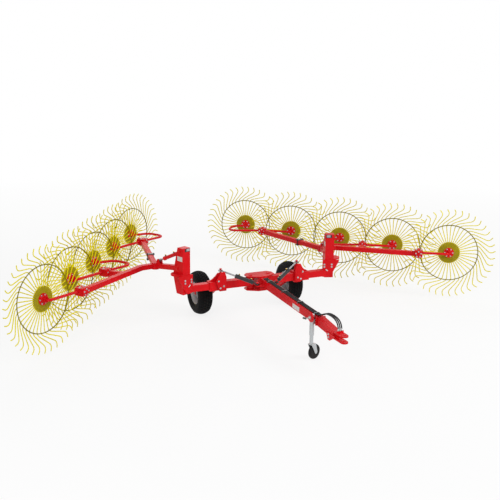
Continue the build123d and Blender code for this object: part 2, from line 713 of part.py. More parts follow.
# Ground wheel on its trailing leg
leg_face = TYRE_X - TYRE_WIDTH / 2 - LEG_THICKNESS / 2
leg_inner = leg_face - LEG_THICKNESS
sleeve_rear = KING_Y + SLEEVE_DEPTH / 2
rim_centre = Vector(TYRE_X, TYRE_Y, TYRE_RADIUS)
axle_end = TYRE_X + RIM_HUB_LENGTH / 2 + END_GAP
with BuildPart() as wheel_leg:
    with BuildSketch(Plane.YZ.offset(leg_inner)):
        with Locations((TYRE_Y, TYRE_RADIUS)):
            Circle(LEG_BOSS_RADIUS)
        with Locations((sleeve_rear + COLLAR_GROWTH + LEG_BOSS_RADIUS, ARM_Z)):
            Circle(LEG_BOSS_RADIUS)
        make_hull()
    extrude(amount=LEG_THICKNESS)
    with BuildSketch(Plane.XZ.offset(-sleeve_rear - COLLAR_GROWTH)):
        with Locations((leg_inner + LEG_THICKNESS / 2, ARM_Z)):
            Rectangle(2 * LEG_THICKNESS, SLEEVE_HEIGHT)
    extrude(amount=-COLLAR_GROWTH)
    axle_start = Vector(leg_face, TYRE_Y, TYRE_RADIUS)
    rod(axle_start, Vector(axle_end, TYRE_Y, TYRE_RADIUS), AXLE_RADIUS)
    rod(
        Vector(axle_end, TYRE_Y, TYRE_RADIUS),
        Vector(axle_end + STUD_HEAD_HEIGHT, TYRE_Y, TYRE_RADIUS),
        AXLE_RADIUS + STUD_HEAD_HEIGHT,
    )
write_sides(wheel_leg.part, "wheel_leg")

wheel_section = Plane(origin=rim_centre, x_dir=(0, 0, 1), z_dir=(0, -1, 0))
half_tyre = TYRE_WIDTH / 2
half_rim = RIM_WIDTH / 2
bead = RIM_RADIUS + SLEEVE_GAP
belly = (TYRE_RADIUS + bead) / 2
half_crown = half_tyre - 2 * TYRE_CARCASS
wheel_axis = Axis(origin=rim_centre, direction=(1, 0, 0))
with BuildPart() as tyre:
    with BuildSketch(wheel_section):
        with BuildLine():
            Polyline(
                (TYRE_RADIUS, -half_crown),
                (TYRE_RADIUS, half_crown),
                (belly, half_tyre),
                (bead, half_rim),
                (bead, half_rim - TYRE_CARCASS),
                (belly, half_tyre - TYRE_CARCASS),
                (TYRE_RADIUS - TYRE_CARCASS, 0),
                (belly, TYRE_CARCASS - half_tyre),
                (bead, TYRE_CARCASS - half_rim),
                (bead, -half_rim),
                (belly, -half_tyre),
                close=True,
            )
        make_face()
    revolve(axis=wheel_axis)
write_sides(tyre.part, "tyre")

with BuildPart() as rim:
    with BuildSketch(wheel_section):
        with Locations((RIM_RADIUS - RIM_WALL / 2, 0)):
            Rectangle(RIM_WALL, RIM_WIDTH)
        with Locations(((RIM_RADIUS - RIM_WALL + RIM_HUB_RADIUS) / 2, 0)):
            Rectangle(RIM_RADIUS - RIM_HUB_RADIUS, RIM_DISC)
        with Locations(((RIM_HUB_RADIUS + AXLE_RADIUS + RUNNING_GAP) / 2, 0)):
            Rectangle(RIM_HUB_RADIUS - AXLE_RADIUS - RUNNING_GAP, RIM_HUB_LENGTH)
    revolve(axis=wheel_axis)
write_sides(rim.part, "rim")

# Tongue: a box tube with an ear on each side for the wing cylinders
tongue_root = Vector(0, CENTRE_FRONT_Y, TONGUE_ROOT_Z)
tongue_tip = Vector(0, TONGUE_TIP_Y, TONGUE_TIP_Z)
tongue_slope = (TONGUE_TIP_Z - TONGUE_ROOT_Z) / (TONGUE_TIP_Y - CENTRE_FRONT_Y)
ear_low = WING_BASE_Z - eye_room - EAR_PLATE
stud_top = WING_BASE_Z + eye_room
with BuildPart() as tongue:
    buried_root = tongue_root - (tongue_tip - tongue_root).normalized() * CENTRE_PLATE
    bar(buried_root, tongue_tip, TONGUE_WIDTH, TONGUE_HEIGHT)
    bar(
        buried_root,
        tongue_tip,
        TONGUE_WIDTH - 2 * TONGUE_WALL,
        TONGUE_HEIGHT - 2 * TONGUE_WALL,
        mode=Mode.SUBTRACT,
    )
    split(bisect_by=Plane.XZ.offset(-CENTRE_FRONT_Y), keep=Keep.TOP)
    for side in (-1, 1):
        with BuildSketch(Plane.XY.offset(ear_low)):
            with Locations((side * WING_BASE_X, WING_BASE_Y)):
                Circle(LUG_RADIUS)
            with Locations((side * (TONGUE_WIDTH / 2 - TONGUE_WALL / 2), WING_BASE_Y)):
                Rectangle(TONGUE_WALL, 4 * LUG_RADIUS)
            make_hull()
        extrude(amount=EAR_PLATE)
        upright(side * WING_BASE_X, WING_BASE_Y, ear_low, stud_top, WING_PIN_RADIUS)
        with Locations((side * WING_BASE_X, WING_BASE_Y, WING_BASE_Z)):
            Sphere(WING_BALL_RADIUS)
        upright(side * WING_BASE_X, WING_BASE_Y, stud_top, stud_top + STUD_HEAD_HEIGHT, STUD_HEAD_RADIUS)
write_node(tongue.part, "tongue")

# Hitch: an end plate and neck that split into two fork plates round the drawbar pin
fork_root_y = HITCH_TIP_Y + HITCH_FORK
with BuildPart() as hitch:
    bar(
        tongue_tip,
        tongue_tip + (tongue_tip - tongue_root).normalized() * HITCH_PLATE,
        TONGUE_WIDTH + 2 * HITCH_PLATE,
        TONGUE_HEIGHT,
    )
    neck_start = tongue_tip + (tongue_tip - tongue_root).normalized() * HITCH_PLATE
    neck_end = Vector(0, fork_root_y, HITCH_Z)
    with BuildSketch(run_plane(neck_start, neck_end)):
        Rectangle(TONGUE_WIDTH, TONGUE_HEIGHT)
    with BuildSketch(Plane(origin=neck_end, x_dir=(-1, 0, 0), z_dir=(0, -1, 0))):
        Rectangle(HITCH_WIDTH, HITCH_GAP + 2 * HITCH_PLATE)
    loft()
    for side in (-1, 1):
        with BuildSketch(Plane.XY.offset(HITCH_Z + side * (HITCH_GAP + HITCH_PLATE) / 2)):
            with Locations((0, HITCH_TIP_Y + HITCH_WIDTH / 2)):
                Circle(HITCH_WIDTH / 2)
            with Locations((0, fork_root_y)):
                Rectangle(HITCH_WIDTH, HITCH_PLATE)
            make_hull()
        extrude(amount=HITCH_PLATE / 2, both=True)
    fork_top = HITCH_Z + HITCH_GAP / 2 + HITCH_PLATE
    with BuildSketch(Plane.XY.offset(fork_top)):
        with Locations((0, HOSE_END_Y)):
            Rectangle(HITCH_WIDTH, HITCH_PLATE)
    extrude(amount=HOSE_END_Z - SLEEVE_GAP - fork_top)
    upright(0, HITCH_TIP_Y + HITCH_PIN_SETBACK, 0, JACK_SLEEVE_TOP, HITCH_PIN_RADIUS, mode=Mode.SUBTRACT)
write_node(hitch.part, "hitch")

# Jack: a sleeve on the tongue's side, a sliding leg and a swivelling caster
with BuildPart() as jack_sleeve:
    upright(JACK_X, JACK_Y, JACK_SLEEVE_LOW, JACK_SLEEVE_TOP, JACK_SLEEVE_RADIUS)
    bracket_face = -TONGUE_WIDTH / 2
    with BuildSketch(Plane.XY.offset(TONGUE_TIP_Z - HITCH_PLATE)):
        with Locations(((JACK_X + bracket_face) / 2, JACK_Y)):
            Rectangle(bracket_face - JACK_X, 2 * JACK_SLEEVE_RADIUS)
    extrude(amount=2 * HITCH_PLATE)
    upright(
        JACK_X,
        JACK_Y,
        JACK_SLEEVE_LOW,
        JACK_SLEEVE_TOP - HITCH_PLATE / 2,
        JACK_LEG_RADIUS + JACK_SLIDE_GAP,
        mode=Mode.SUBTRACT,
    )
write_node(jack_sleeve.part, "jack_sleeve")

with BuildPart() as jack_leg:
    upright(JACK_X, JACK_Y, JACK_LEG_LOW, JACK_LEG_TOP, JACK_LEG_RADIUS)
    upright(
        JACK_X,
        JACK_Y,
        JACK_LEG_LOW,
        JACK_LEG_LOW + CASTER_SPINDLE_LENGTH + END_GAP,
        CASTER_SPINDLE_RADIUS + RUNNING_GAP,
        mode=Mode.SUBTRACT,
    )
write_node(jack_leg.part, "jack_leg")

trail = Vector(cos(radians(CASTER_ANGLE)), sin(radians(CASTER_ANGLE)), 0)
caster_axis = Vector(-sin(radians(CASTER_ANGLE)), cos(radians(CASTER_ANGLE)), 0)
caster_centre = Vector(JACK_X, JACK_Y, CASTER_RADIUS) + trail * CASTER_TRAIL
crown_low = JACK_LEG_LOW - FACE_GAP / 2 - CASTER_CROWN
cheek_out = CASTER_WIDTH / 2 + CASTER_CHEEK_GAP
with BuildPart() as caster_fork:
    spindle_top = JACK_LEG_LOW + CASTER_SPINDLE_LENGTH
    upright(JACK_X, JACK_Y, crown_low + CASTER_CROWN, spindle_top, CASTER_SPINDLE_RADIUS)
    with BuildSketch(Plane(origin=Vector(JACK_X, JACK_Y, crown_low), x_dir=trail, z_dir=UP)):
        with Locations((CASTER_TRAIL / 4, 0)):
            Rectangle(CASTER_CROWN_LENGTH, 2 * cheek_out + 2 * CASTER_CHEEK)
    extrude(amount=CASTER_CROWN)
    for side in (-1, 1):
        cheek = Vector(JACK_X, JACK_Y, 0) + caster_axis * (side * (cheek_out + CASTER_CHEEK / 2))
        with BuildSketch(Plane(origin=cheek, x_dir=trail, z_dir=trail.cross(UP))):
            with Locations((CASTER_TRAIL, CASTER_RADIUS)):
                Circle(3 * CASTER_AXLE_RADIUS)
            with Locations((CASTER_TRAIL / 4, crown_low + CASTER_CROWN / 2)):
                Rectangle(CASTER_CROWN_LENGTH, CASTER_CROWN)
            make_hull()
        extrude(amount=CASTER_CHEEK / 2, both=True)
    rod(
        caster_centre + caster_axis * -(cheek_out + CASTER_CHEEK),
        caster_centre + caster_axis * (cheek_out + CASTER_CHEEK),
        CASTER_AXLE_RADIUS,
    )
write_node(caster_fork.part, "caster_fork")

with BuildPart() as caster_wheel:
    with BuildSketch(Plane(origin=caster_centre, x_dir=UP, z_dir=caster_axis.cross(UP))):
        with BuildLine():
            inner = CASTER_AXLE_RADIUS + RUNNING_GAP
            tread = CASTER_RADIUS - CASTER_WIDTH / 6
            half_caster = CASTER_WIDTH / 2
            Polyline((tread, half_caster), (inner, half_caster), (inner, -half_caster), (tread, -half_caster))
            ThreePointArc((tread, -half_caster), (CASTER_RADIUS, 0), (tread, half_caster))
        make_face()
    revolve(axis=Axis(origin=caster_centre, direction=caster_axis))
write_node(caster_wheel.part, "caster_wheel")


# Hoses: clipped along the tongue, then looped forward to their couplers on the hitch
def tongue_top(y):
    """The height of the tongue's top face."""
    return TONGUE_ROOT_Z + TONGUE_HEIGHT / 2 + (y - CENTRE_FRONT_Y) * tongue_slope


hose_rest = HOSE_RADIUS + SLEEVE_GAP
HOSE_ROUTE = (
    # y, height
    (HOSE_START_Y, tongue_top(HOSE_START_Y) + hose_rest),
    (HOSE_LIFT_Y, tongue_top(HOSE_LIFT_Y) + hose_rest),
    (HOSE_TOP_Y, HOSE_TOP_Z),
    (HOSE_END_Y, HOSE_TURN_Z),
    (HOSE_END_Y, HOSE_END_Z),
)
with BuildPart() as hoses:
    for x in HOSE_XS:
        points = [Vector(x, y, height) for y, height in HOSE_ROUTE]
        with BuildLine() as route:
            FilletPolyline(*points, radius=list(HOSE_BENDS))
        with BuildSketch(Plane(origin=route.line @ 0, z_dir=route.line % 0)):
            Circle(HOSE_RADIUS)
        sweep(path=route.line)
write_node(hoses.part, "hoses")
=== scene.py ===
"""Looks of the carted V wheel rake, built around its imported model."""
import json
import logging
import math
from dataclasses import dataclass
from enum import Enum
from typing import Any, Optional, Sequence

import bmesh
import bpy
from mathutils import Matrix, Vector


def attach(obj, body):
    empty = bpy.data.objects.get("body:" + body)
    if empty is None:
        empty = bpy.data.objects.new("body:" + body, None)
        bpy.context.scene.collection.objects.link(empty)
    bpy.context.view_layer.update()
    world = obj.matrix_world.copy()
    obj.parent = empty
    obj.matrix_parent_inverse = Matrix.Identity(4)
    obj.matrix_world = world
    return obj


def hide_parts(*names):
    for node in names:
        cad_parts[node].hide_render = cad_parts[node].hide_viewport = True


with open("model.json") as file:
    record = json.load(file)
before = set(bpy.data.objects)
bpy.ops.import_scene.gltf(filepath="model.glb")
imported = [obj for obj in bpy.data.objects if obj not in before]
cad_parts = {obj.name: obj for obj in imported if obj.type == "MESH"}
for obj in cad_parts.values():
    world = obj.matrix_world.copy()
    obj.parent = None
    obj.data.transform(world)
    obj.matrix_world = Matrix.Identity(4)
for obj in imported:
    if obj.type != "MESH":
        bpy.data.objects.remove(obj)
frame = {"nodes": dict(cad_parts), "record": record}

LOG = logging.getLogger("wheel_rake")
SMOOTH_ANGLE = math.radians(35)
X_AXIS = Vector((1, 0, 0))
Y_AXIS = Vector((0, 1, 0))
Z_AXIS = Vector((0, 0, 1))
FLIP_X = Matrix.Diagonal((-1, 1, 1, 1))
SIGNS = (-1, 1)
PLATE_EDGE = 0.002


class Side(Enum):
    """The two mirrored sides of the machine, by the sign of X."""

    LEFT = 1
    RIGHT = -1

    @property
    def suffix(self) -> str:
        """The ending of this side's node and body names."""
        return self.name.lower()


class Signal:
    """A shader socket that takes part in Python expressions."""

    def __init__(self, graph: "ShaderGraph", socket: bpy.types.NodeSocket) -> None:
        """Wraps one output socket of a graph."""
        self.graph = graph
        self.socket = socket

    def _math(self, operation: str, first: Any, second: Any) -> "Signal":
        """The result of one Math node on two values or signals."""
        return self.graph.node("ShaderNodeMath", {"operation": operation}, {0: first, 1: second})

    def __add__(self, other: Any) -> "Signal":
        """self + other."""
        return self._math("ADD", self, other)

    def __radd__(self, other: Any) -> "Signal":
        """other + self."""
        return self._math("ADD", other, self)

    def __sub__(self, other: Any) -> "Signal":
        """self - other."""
        return self._math("SUBTRACT", self, other)

    def __rsub__(self, other: Any) -> "Signal":
        """other - self."""
        return self._math("SUBTRACT", other, self)

    def __mul__(self, other: Any) -> "Signal":
        """self * other."""
        return self._math("MULTIPLY", self, other)

    def __rmul__(self, other: Any) -> "Signal":
        """other * self."""
        return self._math("MULTIPLY", other, self)


class ShaderGraph:
    """The node tree of one material or world."""

    def __init__(self, owner: bpy.types.ID) -> None:
        """Clears the tree of a new material or world."""
        owner.use_nodes = True
        self.owner = owner
        self.tree = owner.node_tree
        self.tree.nodes.clear()

    def node(self, kind: str, settings: Optional[dict] = None, inputs: Optional[dict] = None,
             output: Any = 0) -> Signal:
        """Adds any node.

        Args:
            kind: the node's type.
            settings: attributes, which are set first.
            inputs: values or signals by socket name or number.
            output: the wanted output's name or number.

        Returns:
            The wanted output.
        """
        made = self.tree.nodes.new(kind)
        for key, value in (settings or {}).items():
            setattr(made, key, value)
        for key, value in (inputs or {}).items():
            if isinstance(value, Signal):
                self.tree.links.new(value.socket, made.inputs[key])
            else:
                made.inputs[key].default_value = value
        return Signal(self, made.outputs[output])

    def place(self) -> Signal:
        """The point on the surface, in the piece's own coordinates."""
        return self.node("ShaderNodeTexCoord", output="Object")

    def noise(self, scale: float, detail: float, stretch: Optional[tuple] = None) -> Signal:
        """Adds noise over the surface.

        Args:
            scale: how many patches there are to a metre.
            detail: how many finer layers it has.
            stretch: scales along the three axes, or None.

        Returns:
            The noise's value.
        """
        where = self.place()
        if stretch:
            where = self.node("ShaderNodeMapping", inputs={"Vector": where, "Scale": stretch})
        return self.node("ShaderNodeTexNoise", inputs={"Vector": where, "Scale": scale, "Detail": detail})

    def band(self, value: Signal, low: float, high: float) -> Signal:
        """Turns a value into a mask that rises from 0 at low to 1 at high."""
        return self.node("ShaderNodeMapRange", {"clamp": True},
                         {"Value": value, "From Min": low, "From Max": high})

    def mix(self, factor: Any, first: Any, second: Any) -> Signal:
        """Mixes two colours, with the factor as the share of the second."""
        return self.node("ShaderNodeMix", {"data_type": "RGBA"}, {0: factor, 6: first, 7: second}, 2)

    def bump(self, height: Signal, strength: float, distance: float) -> Signal:
        """Adds a Bump node for the shader's normal."""
        return self.node("ShaderNodeBump", None,
                         {"Height": height, "Strength": strength, "Distance": distance})

    def seen(self) -> Signal:
        """1 for rays from the camera, from gloss and through glass, else 0."""
        rays = [self.node("ShaderNodeLightPath", output=f"Is {kind} Ray")
                for kind in ("Camera", "Glossy", "Transmission")]
        total = rays[0] + rays[1] + rays[2]
        return self.node("ShaderNodeMath", {"operation": "MINIMUM"}, {0: total, 1: 1.0})

    def close(self, shader: Signal, kind: str = "ShaderNodeOutputMaterial") -> Any:
        """Joins a shader to the tree's output.

        Args:
            shader: the finished shader.
            kind: the output node's type.

        Returns:
            The material or world.
        """
        end = self.tree.nodes.new(kind)
        self.tree.links.new(shader.socket, end.inputs["Surface"])
        return self.owner


def colour(red: float, green: float, blue: float) -> tuple:
    """A colour with full opacity."""
    return (red, green, blue, 1.0)


@dataclass(frozen=True)
class Patches:
    """Noise cut into patches: how many to a metre, its finer layers, where they start and are full."""

    scale: float
    detail: float
    start: float
    full: float

    def mask(self, graph: ShaderGraph) -> Signal:
        """The patches as a mask from 0 to 1."""
        return graph.band(graph.noise(self.scale, self.detail), self.start, self.full)


@dataclass(frozen=True)
class Finish:
    """What every finish has: its own name, the record's material slot and a base colour."""

    name: str
    slot: str
    base: tuple

    def inputs(self, graph: ShaderGraph) -> dict:
        """The surface shader's values and signals, by socket."""
        raise NotImplementedError

    def material(self) -> bpy.types.Material:
        """Builds the finish's material."""
        graph = ShaderGraph(bpy.data.materials.new(self.name))
        return graph.close(graph.node("ShaderNodeBsdfPrincipled", None, self.inputs(graph)))


@dataclass(frozen=True)
class PaintFinish(Finish):
    """Sprayed gloss paint with faint mottling, dust low down and small chips."""

    shade: tuple
    roughness: float = 0.36
    gloss: float = 0.2
    coat: float = 0.12
    coat_roughness: float = 0.12
    mottle: Patches = Patches(3.2, 4.0, 0.35, 0.7)
    dust: tuple = colour(0.34, 0.27, 0.19)
    dust_share: float = 0.12
    dust_top: float = 0.55
    dust_patches: Patches = Patches(17.0, 6.0, 0.36, 0.72)
    chip: tuple = colour(0.2, 0.17, 0.15)
    chips: Patches = Patches(58.0, 5.0, 0.735, 0.76)
    peel_scale: float = 420.0
    peel_strength: float = 0.12
    peel_depth: float = 0.0006

    def inputs(self, graph: ShaderGraph) -> dict:
        """Mottled paint with dust, chips and a fine peel.

        Args:
            graph: the material's graph.

        Returns:
            Values and signals by socket.
        """
        mottle = self.mottle.mask(graph)
        paint = graph.mix(mottle, self.base, self.shade)
        height = graph.node("ShaderNodeSeparateXYZ", None, {"Vector": graph.place()}, "Z")
        low = 1.0 - graph.band(height, 0.0, self.dust_top)
        dusty = low * self.dust_patches.mask(graph) * self.dust_share
        chipped = self.chips.mask(graph)
        peel = graph.noise(self.peel_scale, 2.0)
        return {
            "Base Color": graph.mix(chipped, graph.mix(dusty, paint, self.dust), self.chip),
            "Roughness": self.roughness + 0.1 * mottle + 0.5 * dusty + 0.25 * chipped,
            "Specular IOR Level": self.gloss,
            "Coat Weight": self.coat,
            "Coat Roughness": self.coat_roughness,
            "Normal": graph.bump(peel - 0.6 * chipped, self.peel_strength, self.peel_depth),
        }


@dataclass(frozen=True)
class MetalFinish(Finish):
    """Bare or plated metal with streaks along its length and a little staining."""

    stain: tuple
    roughness: float
    metallic: float = 1.0
    spangle: Patches = Patches(46.0, 3.0, 0.35, 0.65)
    stains: Patches = Patches(7.0, 5.0, 0.45, 0.85)
    streak_scale: float = 3.0
    streak: tuple = (6.0, 6.0, 90.0)
    streak_strength: float = 0.1
    streak_depth: float = 0.0005

    def inputs(self, graph: ShaderGraph) -> dict:
        """Spangled and stained metal with fine streaks.

        Args:
            graph: the material's graph.

        Returns:
            Values and signals by socket.
        """
        stained = self.stains.mask(graph)
        streaks = graph.noise(self.streak_scale, 4.0, self.streak)
        return {
            "Base Color": graph.mix(0.55 * stained, self.base, self.stain),
            "Metallic": self.metallic,
            "Roughness": self.roughness + 0.16 * self.spangle.mask(graph) + 0.14 * stained,
            "Normal": graph.bump(streaks, self.streak_strength, self.streak_depth),
        }


@dataclass(frozen=True)
class RubberFinish(Finish):
    """Dull rubber with dust and a fine grain."""

    dust: tuple
    dust_share: float
    roughness: float = 0.72
    gloss: float = 0.2
    dust_patches: Patches = Patches(9.0, 6.0, 0.4, 0.75)
    grain: float = 260.0
    grain_strength: float = 0.25
    grain_depth: float = 0.0008

    def inputs(self, graph: ShaderGraph) -> dict:
        """Dusty rubber with its grain.

        Args:
            graph: the material's graph.

        Returns:
            Values and signals by socket.
        """
        dusty = self.dust_patches.mask(graph)
        grain = graph.noise(self.grain, 3.0)
        return {
            "Base Color": graph.mix(self.dust_share * dusty, self.base, self.dust),
            "Roughness": self.roughness + 0.18 * dusty,
            "Specular IOR Level": self.gloss,
            "Normal": graph.bump(grain, self.grain_strength, self.grain_depth),
        }


RED = PaintFinish("red_gloss_paint", "red_paint", colour(0.72, 0.004, 0.009), colour(0.60, 0.003, 0.007),
                  gloss=0.12, coat=0.06)
YELLOW = PaintFinish("tine_yellow_paint", "yellow_paint", colour(0.88, 0.77, 0.002),
                     colour(0.76, 0.65, 0.002), roughness=0.45, gloss=0.04, coat=0.0, dust_share=0.05)
# The plates and ribs: a darker copy of the tine yellow in the same paint slot, which is painted shade.
SHADED_PLATE_YELLOW = PaintFinish("plate_yellow_painted_shade", "yellow_paint", colour(0.37, 0.30, 0.002),
                    colour(0.30, 0.24, 0.002), roughness=0.45, gloss=0.08, coat=0.0)
# The ring: a still darker copy of the tine yellow in the same paint slot, which is painted shade.
SHADED_RING_YELLOW = PaintFinish("ring_yellow_painted_shade", "yellow_paint", colour(0.28, 0.235, 0.001),
                   colour(0.22, 0.18, 0.001), roughness=0.5, gloss=0.02, coat=0.0, dust_share=0.05)
BLACK = PaintFinish("cylinder_black_paint", "black_paint", colour(0.012, 0.012, 0.014),
                    colour(0.02, 0.02, 0.022), roughness=0.3, coat=0.5)
SILVER = PaintFinish("rim_silver_paint", "rim_paint", colour(0.44, 0.45, 0.47),
                     colour(0.34, 0.35, 0.37), roughness=0.36, coat=0.3)
LABEL = PaintFinish("blank_plate_paint", "rim_paint", colour(0.7, 0.7, 0.68),
                    colour(0.6, 0.6, 0.58), roughness=0.4, coat=0.2)
CHROME = MetalFinish("rod_chrome", "chrome", colour(0.36, 0.36, 0.37), colour(0.25, 0.24, 0.23), 0.2)
ZINC = MetalFinish("zinc_plate", "galvanised", colour(0.52, 0.54, 0.55), colour(0.4, 0.4, 0.39), 0.36)
BRASS = MetalFinish("brass_fitting", "galvanised", colour(0.62, 0.42, 0.12), colour(0.4, 0.27, 0.09), 0.3)
TYRE = RubberFinish("tyre_rubber", "tyre", colour(0.005, 0.005, 0.006), colour(0.05, 0.046, 0.040), 0.18,
                    gloss=0.12)
CASTER = RubberFinish("caster_rubber", "caster_rubber", colour(0.012, 0.012, 0.013),
                      colour(0.07, 0.064, 0.058), 0.22)
HOSE = RubberFinish("hose_rubber", "hose_rubber", colour(0.010, 0.010, 0.011),
                    colour(0.04, 0.037, 0.034), 0.2, roughness=0.5, grain=700.0)


class Paints:
    """Makes each finish's material once."""

    def __init__(self) -> None:
        """Starts with no materials."""
        self.made: dict = {}

    def of(self, finish: Finish) -> bpy.types.Material:
        """The finish's material, made on first use."""
        if finish.name not in self.made:
            self.made[finish.name] = finish.material()
        return self.made[finish.name]

    def node(self, name: str, finish: Finish) -> None:
        """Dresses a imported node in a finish."""
        mesh = frame["nodes"][name].data
        mesh.materials.clear()
        mesh.materials.append(self.of(finish))


def axes(origin: Sequence, x_dir: Sequence, z_dir: Sequence) -> Matrix:
    """A place from its origin and two of its directions."""
    z = Vector(z_dir).normalized()
    x = Vector(x_dir)
    x = (x - z * x.dot(z)).normalized()
    y = z.cross(x)
    made = Matrix((x, y, z)).transposed().to_4x4()
    made.translation = Vector(origin)
    return made


def raised(place: Matrix, height: float) -> Matrix:
    """A place moved along its own Z."""
    return place @ Matrix.Translation((0, 0, height))


def circle(radius: float, count: int, start: float = 0.0) -> list:
    """Points at equal steps round a circle, the first at a share of a step."""
    turns = [math.tau * (n + start) / count for n in range(count)]
    return [(radius * math.cos(t), radius * math.sin(t)) for t in turns]


def doubled(side: Sequence) -> list:
    """A closed profile from one side's pairs of radius and height, and their mirror image."""
    return [*side, *((r, -z) for r, z in reversed(side))]


def rounded(points: Sequence, radii: Sequence, steps: int) -> list:
    """Rounds the inner corners of a wire's line.

    Args:
        points: the line's corners.
        radii: how far before and after each inner corner its bend runs.
        steps: how many pieces a bend has.

    Returns:
        The points of the bent line.
    """
    corners = [Vector(p) for p in points]
    line = [corners[0]]
    for before, corner, after, reach in zip(corners, corners[1:], corners[2:], radii):
        start = corner + (before - corner).normalized() * reach
        end = corner + (after - corner).normalized() * reach
        for n in range(steps + 1):
            t = n / steps
            line.append(start * (1 - t) ** 2 + corner * 2 * t * (1 - t) + end * t * t)
    line.append(corners[-1])
    return line


@dataclass(frozen=True)
class Plate:
    """A small flat plate: its size, its finish and the chamfer round its top."""

    width: float
    depth: float
    thick: float
    finish: Finish
    edge: float = PLATE_EDGE


class Maker:
    """One mesh in the making, with a finish for each face."""

    def __init__(self) -> None:
        """Starts an empty mesh."""
        self.mesh = bmesh.new()
        self.finishes: list = []

    def _slot(self, finish: Finish) -> int:
        """The material number of a finish in this mesh."""
        if finish not in self.finishes:
            self.finishes.append(finish)
        return self.finishes.index(finish)

    def face(self, corners: Sequence, finish: Finish) -> None:
        """Adds one face from vertices."""
        made = self.mesh.faces.new(corners)
        made.material_index = self._slot(finish)
        made.smooth = True

    def loft(self, rings: Sequence, finish: Finish, closed: bool = False) -> None:
        """Joins rings of points with faces.

        Args:
            rings: rows of points, each going round the same way.
            finish: the faces' finish.
            closed: whether the last ring joins the first, instead of both being filled.
        """
        rows = [[self.mesh.verts.new(point) for point in ring] for ring in rings]
        pairs = list(zip(rows, rows[1:]))
        if closed:
            pairs.append((rows[-1], rows[0]))
        for near, far in pairs:
            count = len(near)
            for k in range(count):
                nxt = (k + 1) % count
                self.face((near[k], near[nxt], far[nxt], far[k]), finish)
        if not closed:
            self.face(rows[0][::-1], finish)
            self.face(rows[-1], finish)

    def tube(self, path: Sequence, radius: float, finish: Finish, sides: int = 8,
             closed: bool = False) -> None:
        """Runs a round bar along points.

        Args:
            path: the points of its middle line.
            radius: the bar's radius.
            finish: its finish.
            sides: how many faces go round it.
            closed: whether the line closes on itself.
        """
        points = [Vector(p) for p in path]
        count = len(points)
        rings = []
        normal = None
        for k, point in enumerate(points):
            before = points[k - 1] if k or closed else point
            after = points[(k + 1) % count] if k < count - 1 or closed else point
            heading = (after - before).normalized()
            if normal is None:
                normal = heading.orthogonal()
            normal = (normal - heading * normal.dot(heading)).normalized()
            across = heading.cross(normal)
            rings.append([point + normal * x + across * y for x, y in circle(radius, sides)])
        self.loft(rings, finish, closed)

    def lathe(self, place: Matrix, profile: Sequence, finish: Finish, segments: int,
              closed: bool = False) -> None:
        """Turns a profile, in pairs of radius and height, about the place's Z axis."""
        rings = [[place @ Vector((x, y, z)) for x, y in circle(r, segments)] for r, z in profile]
        self.loft(rings, finish, closed)

    def prism(self, place: Matrix, outline: Sequence, low: float, high: float, finish: Finish,
              edge: float = PLATE_EDGE) -> None:
        """Raises an outline, with a chamfer round its top.

        Args:
            place: where the outline's plane lies.
            outline: points of the outline, anticlockwise.
            low: the height of its foot.
            high: the height of its top.
            finish: its finish.
            edge: the chamfer's width.
        """
        middle = sum((Vector(p) for p in outline), Vector((0, 0))) / len(outline)
        widest = max((Vector(p) - middle).length for p in outline)
        levels = ((low, 1.0), (high - edge, 1.0), (high, 1 - edge / widest))
        rings = [[place @ Vector((*(middle + (Vector(p) - middle) * s), z)) for p in outline]
                 for z, s in levels]
        self.loft(rings, finish)

    def plate(self, place: Matrix, plate: Plate) -> None:
        """A rectangular plate, standing on the place's plane."""
        w, d = plate.width / 2, plate.depth / 2
        corners = [(-w, -d), (w, -d), (w, d), (-w, d)]
        self.prism(place, corners, 0.0, plate.thick, plate.finish, plate.edge)

    def bolt(self, place: Matrix, radius: float, finish: Finish = ZINC, washer: bool = True) -> None:
        """A hexagon head on a washer, standing on the place's plane.

        Args:
            place: the seat, with Z out of it.
            radius: the head's radius.
            finish: its finish.
            washer: whether it sits on a washer.
        """
        low = 0.0
        if washer:
            low = radius * 0.25
            self.lathe(place, [(radius * 1.35, 0), (radius * 1.35, low), (radius * 0.9, low)], finish, 12)
        self.prism(place, circle(radius, 6), low, low + radius * 0.75, finish, radius * 0.18)

    def bolt_ring(self, place: Matrix, across: float, count: int, radius: float,
                  start: float = 0.0) -> None:
        """Bolts of one radius round a circle on the place's plane."""
        for x, y in circle(across, count, start):
            self.bolt(place @ Matrix.Translation((x, y, 0)), radius)

    def build(self, name: str, paints: Paints) -> bpy.types.Mesh:
        """Ends the mesh.

        Args:
            name: the mesh's name.
            paints: where its materials come from.

        Returns:
            The mesh.
        """
        bmesh.ops.recalc_face_normals(self.mesh, faces=self.mesh.faces)
        made = bpy.data.meshes.new(name)
        self.mesh.to_mesh(made)
        self.mesh.free()
        for finish in self.finishes:
            made.materials.append(paints.of(finish))
        made.set_sharp_from_angle(angle=SMOOTH_ANGLE)
        return made


def mirrored(mesh: bpy.types.Mesh) -> bpy.types.Mesh:
    """A copy of a mesh, mirrored in X."""
    twin = mesh.copy()
    twin.transform(FLIP_X)
    twin.flip_normals()
    return twin


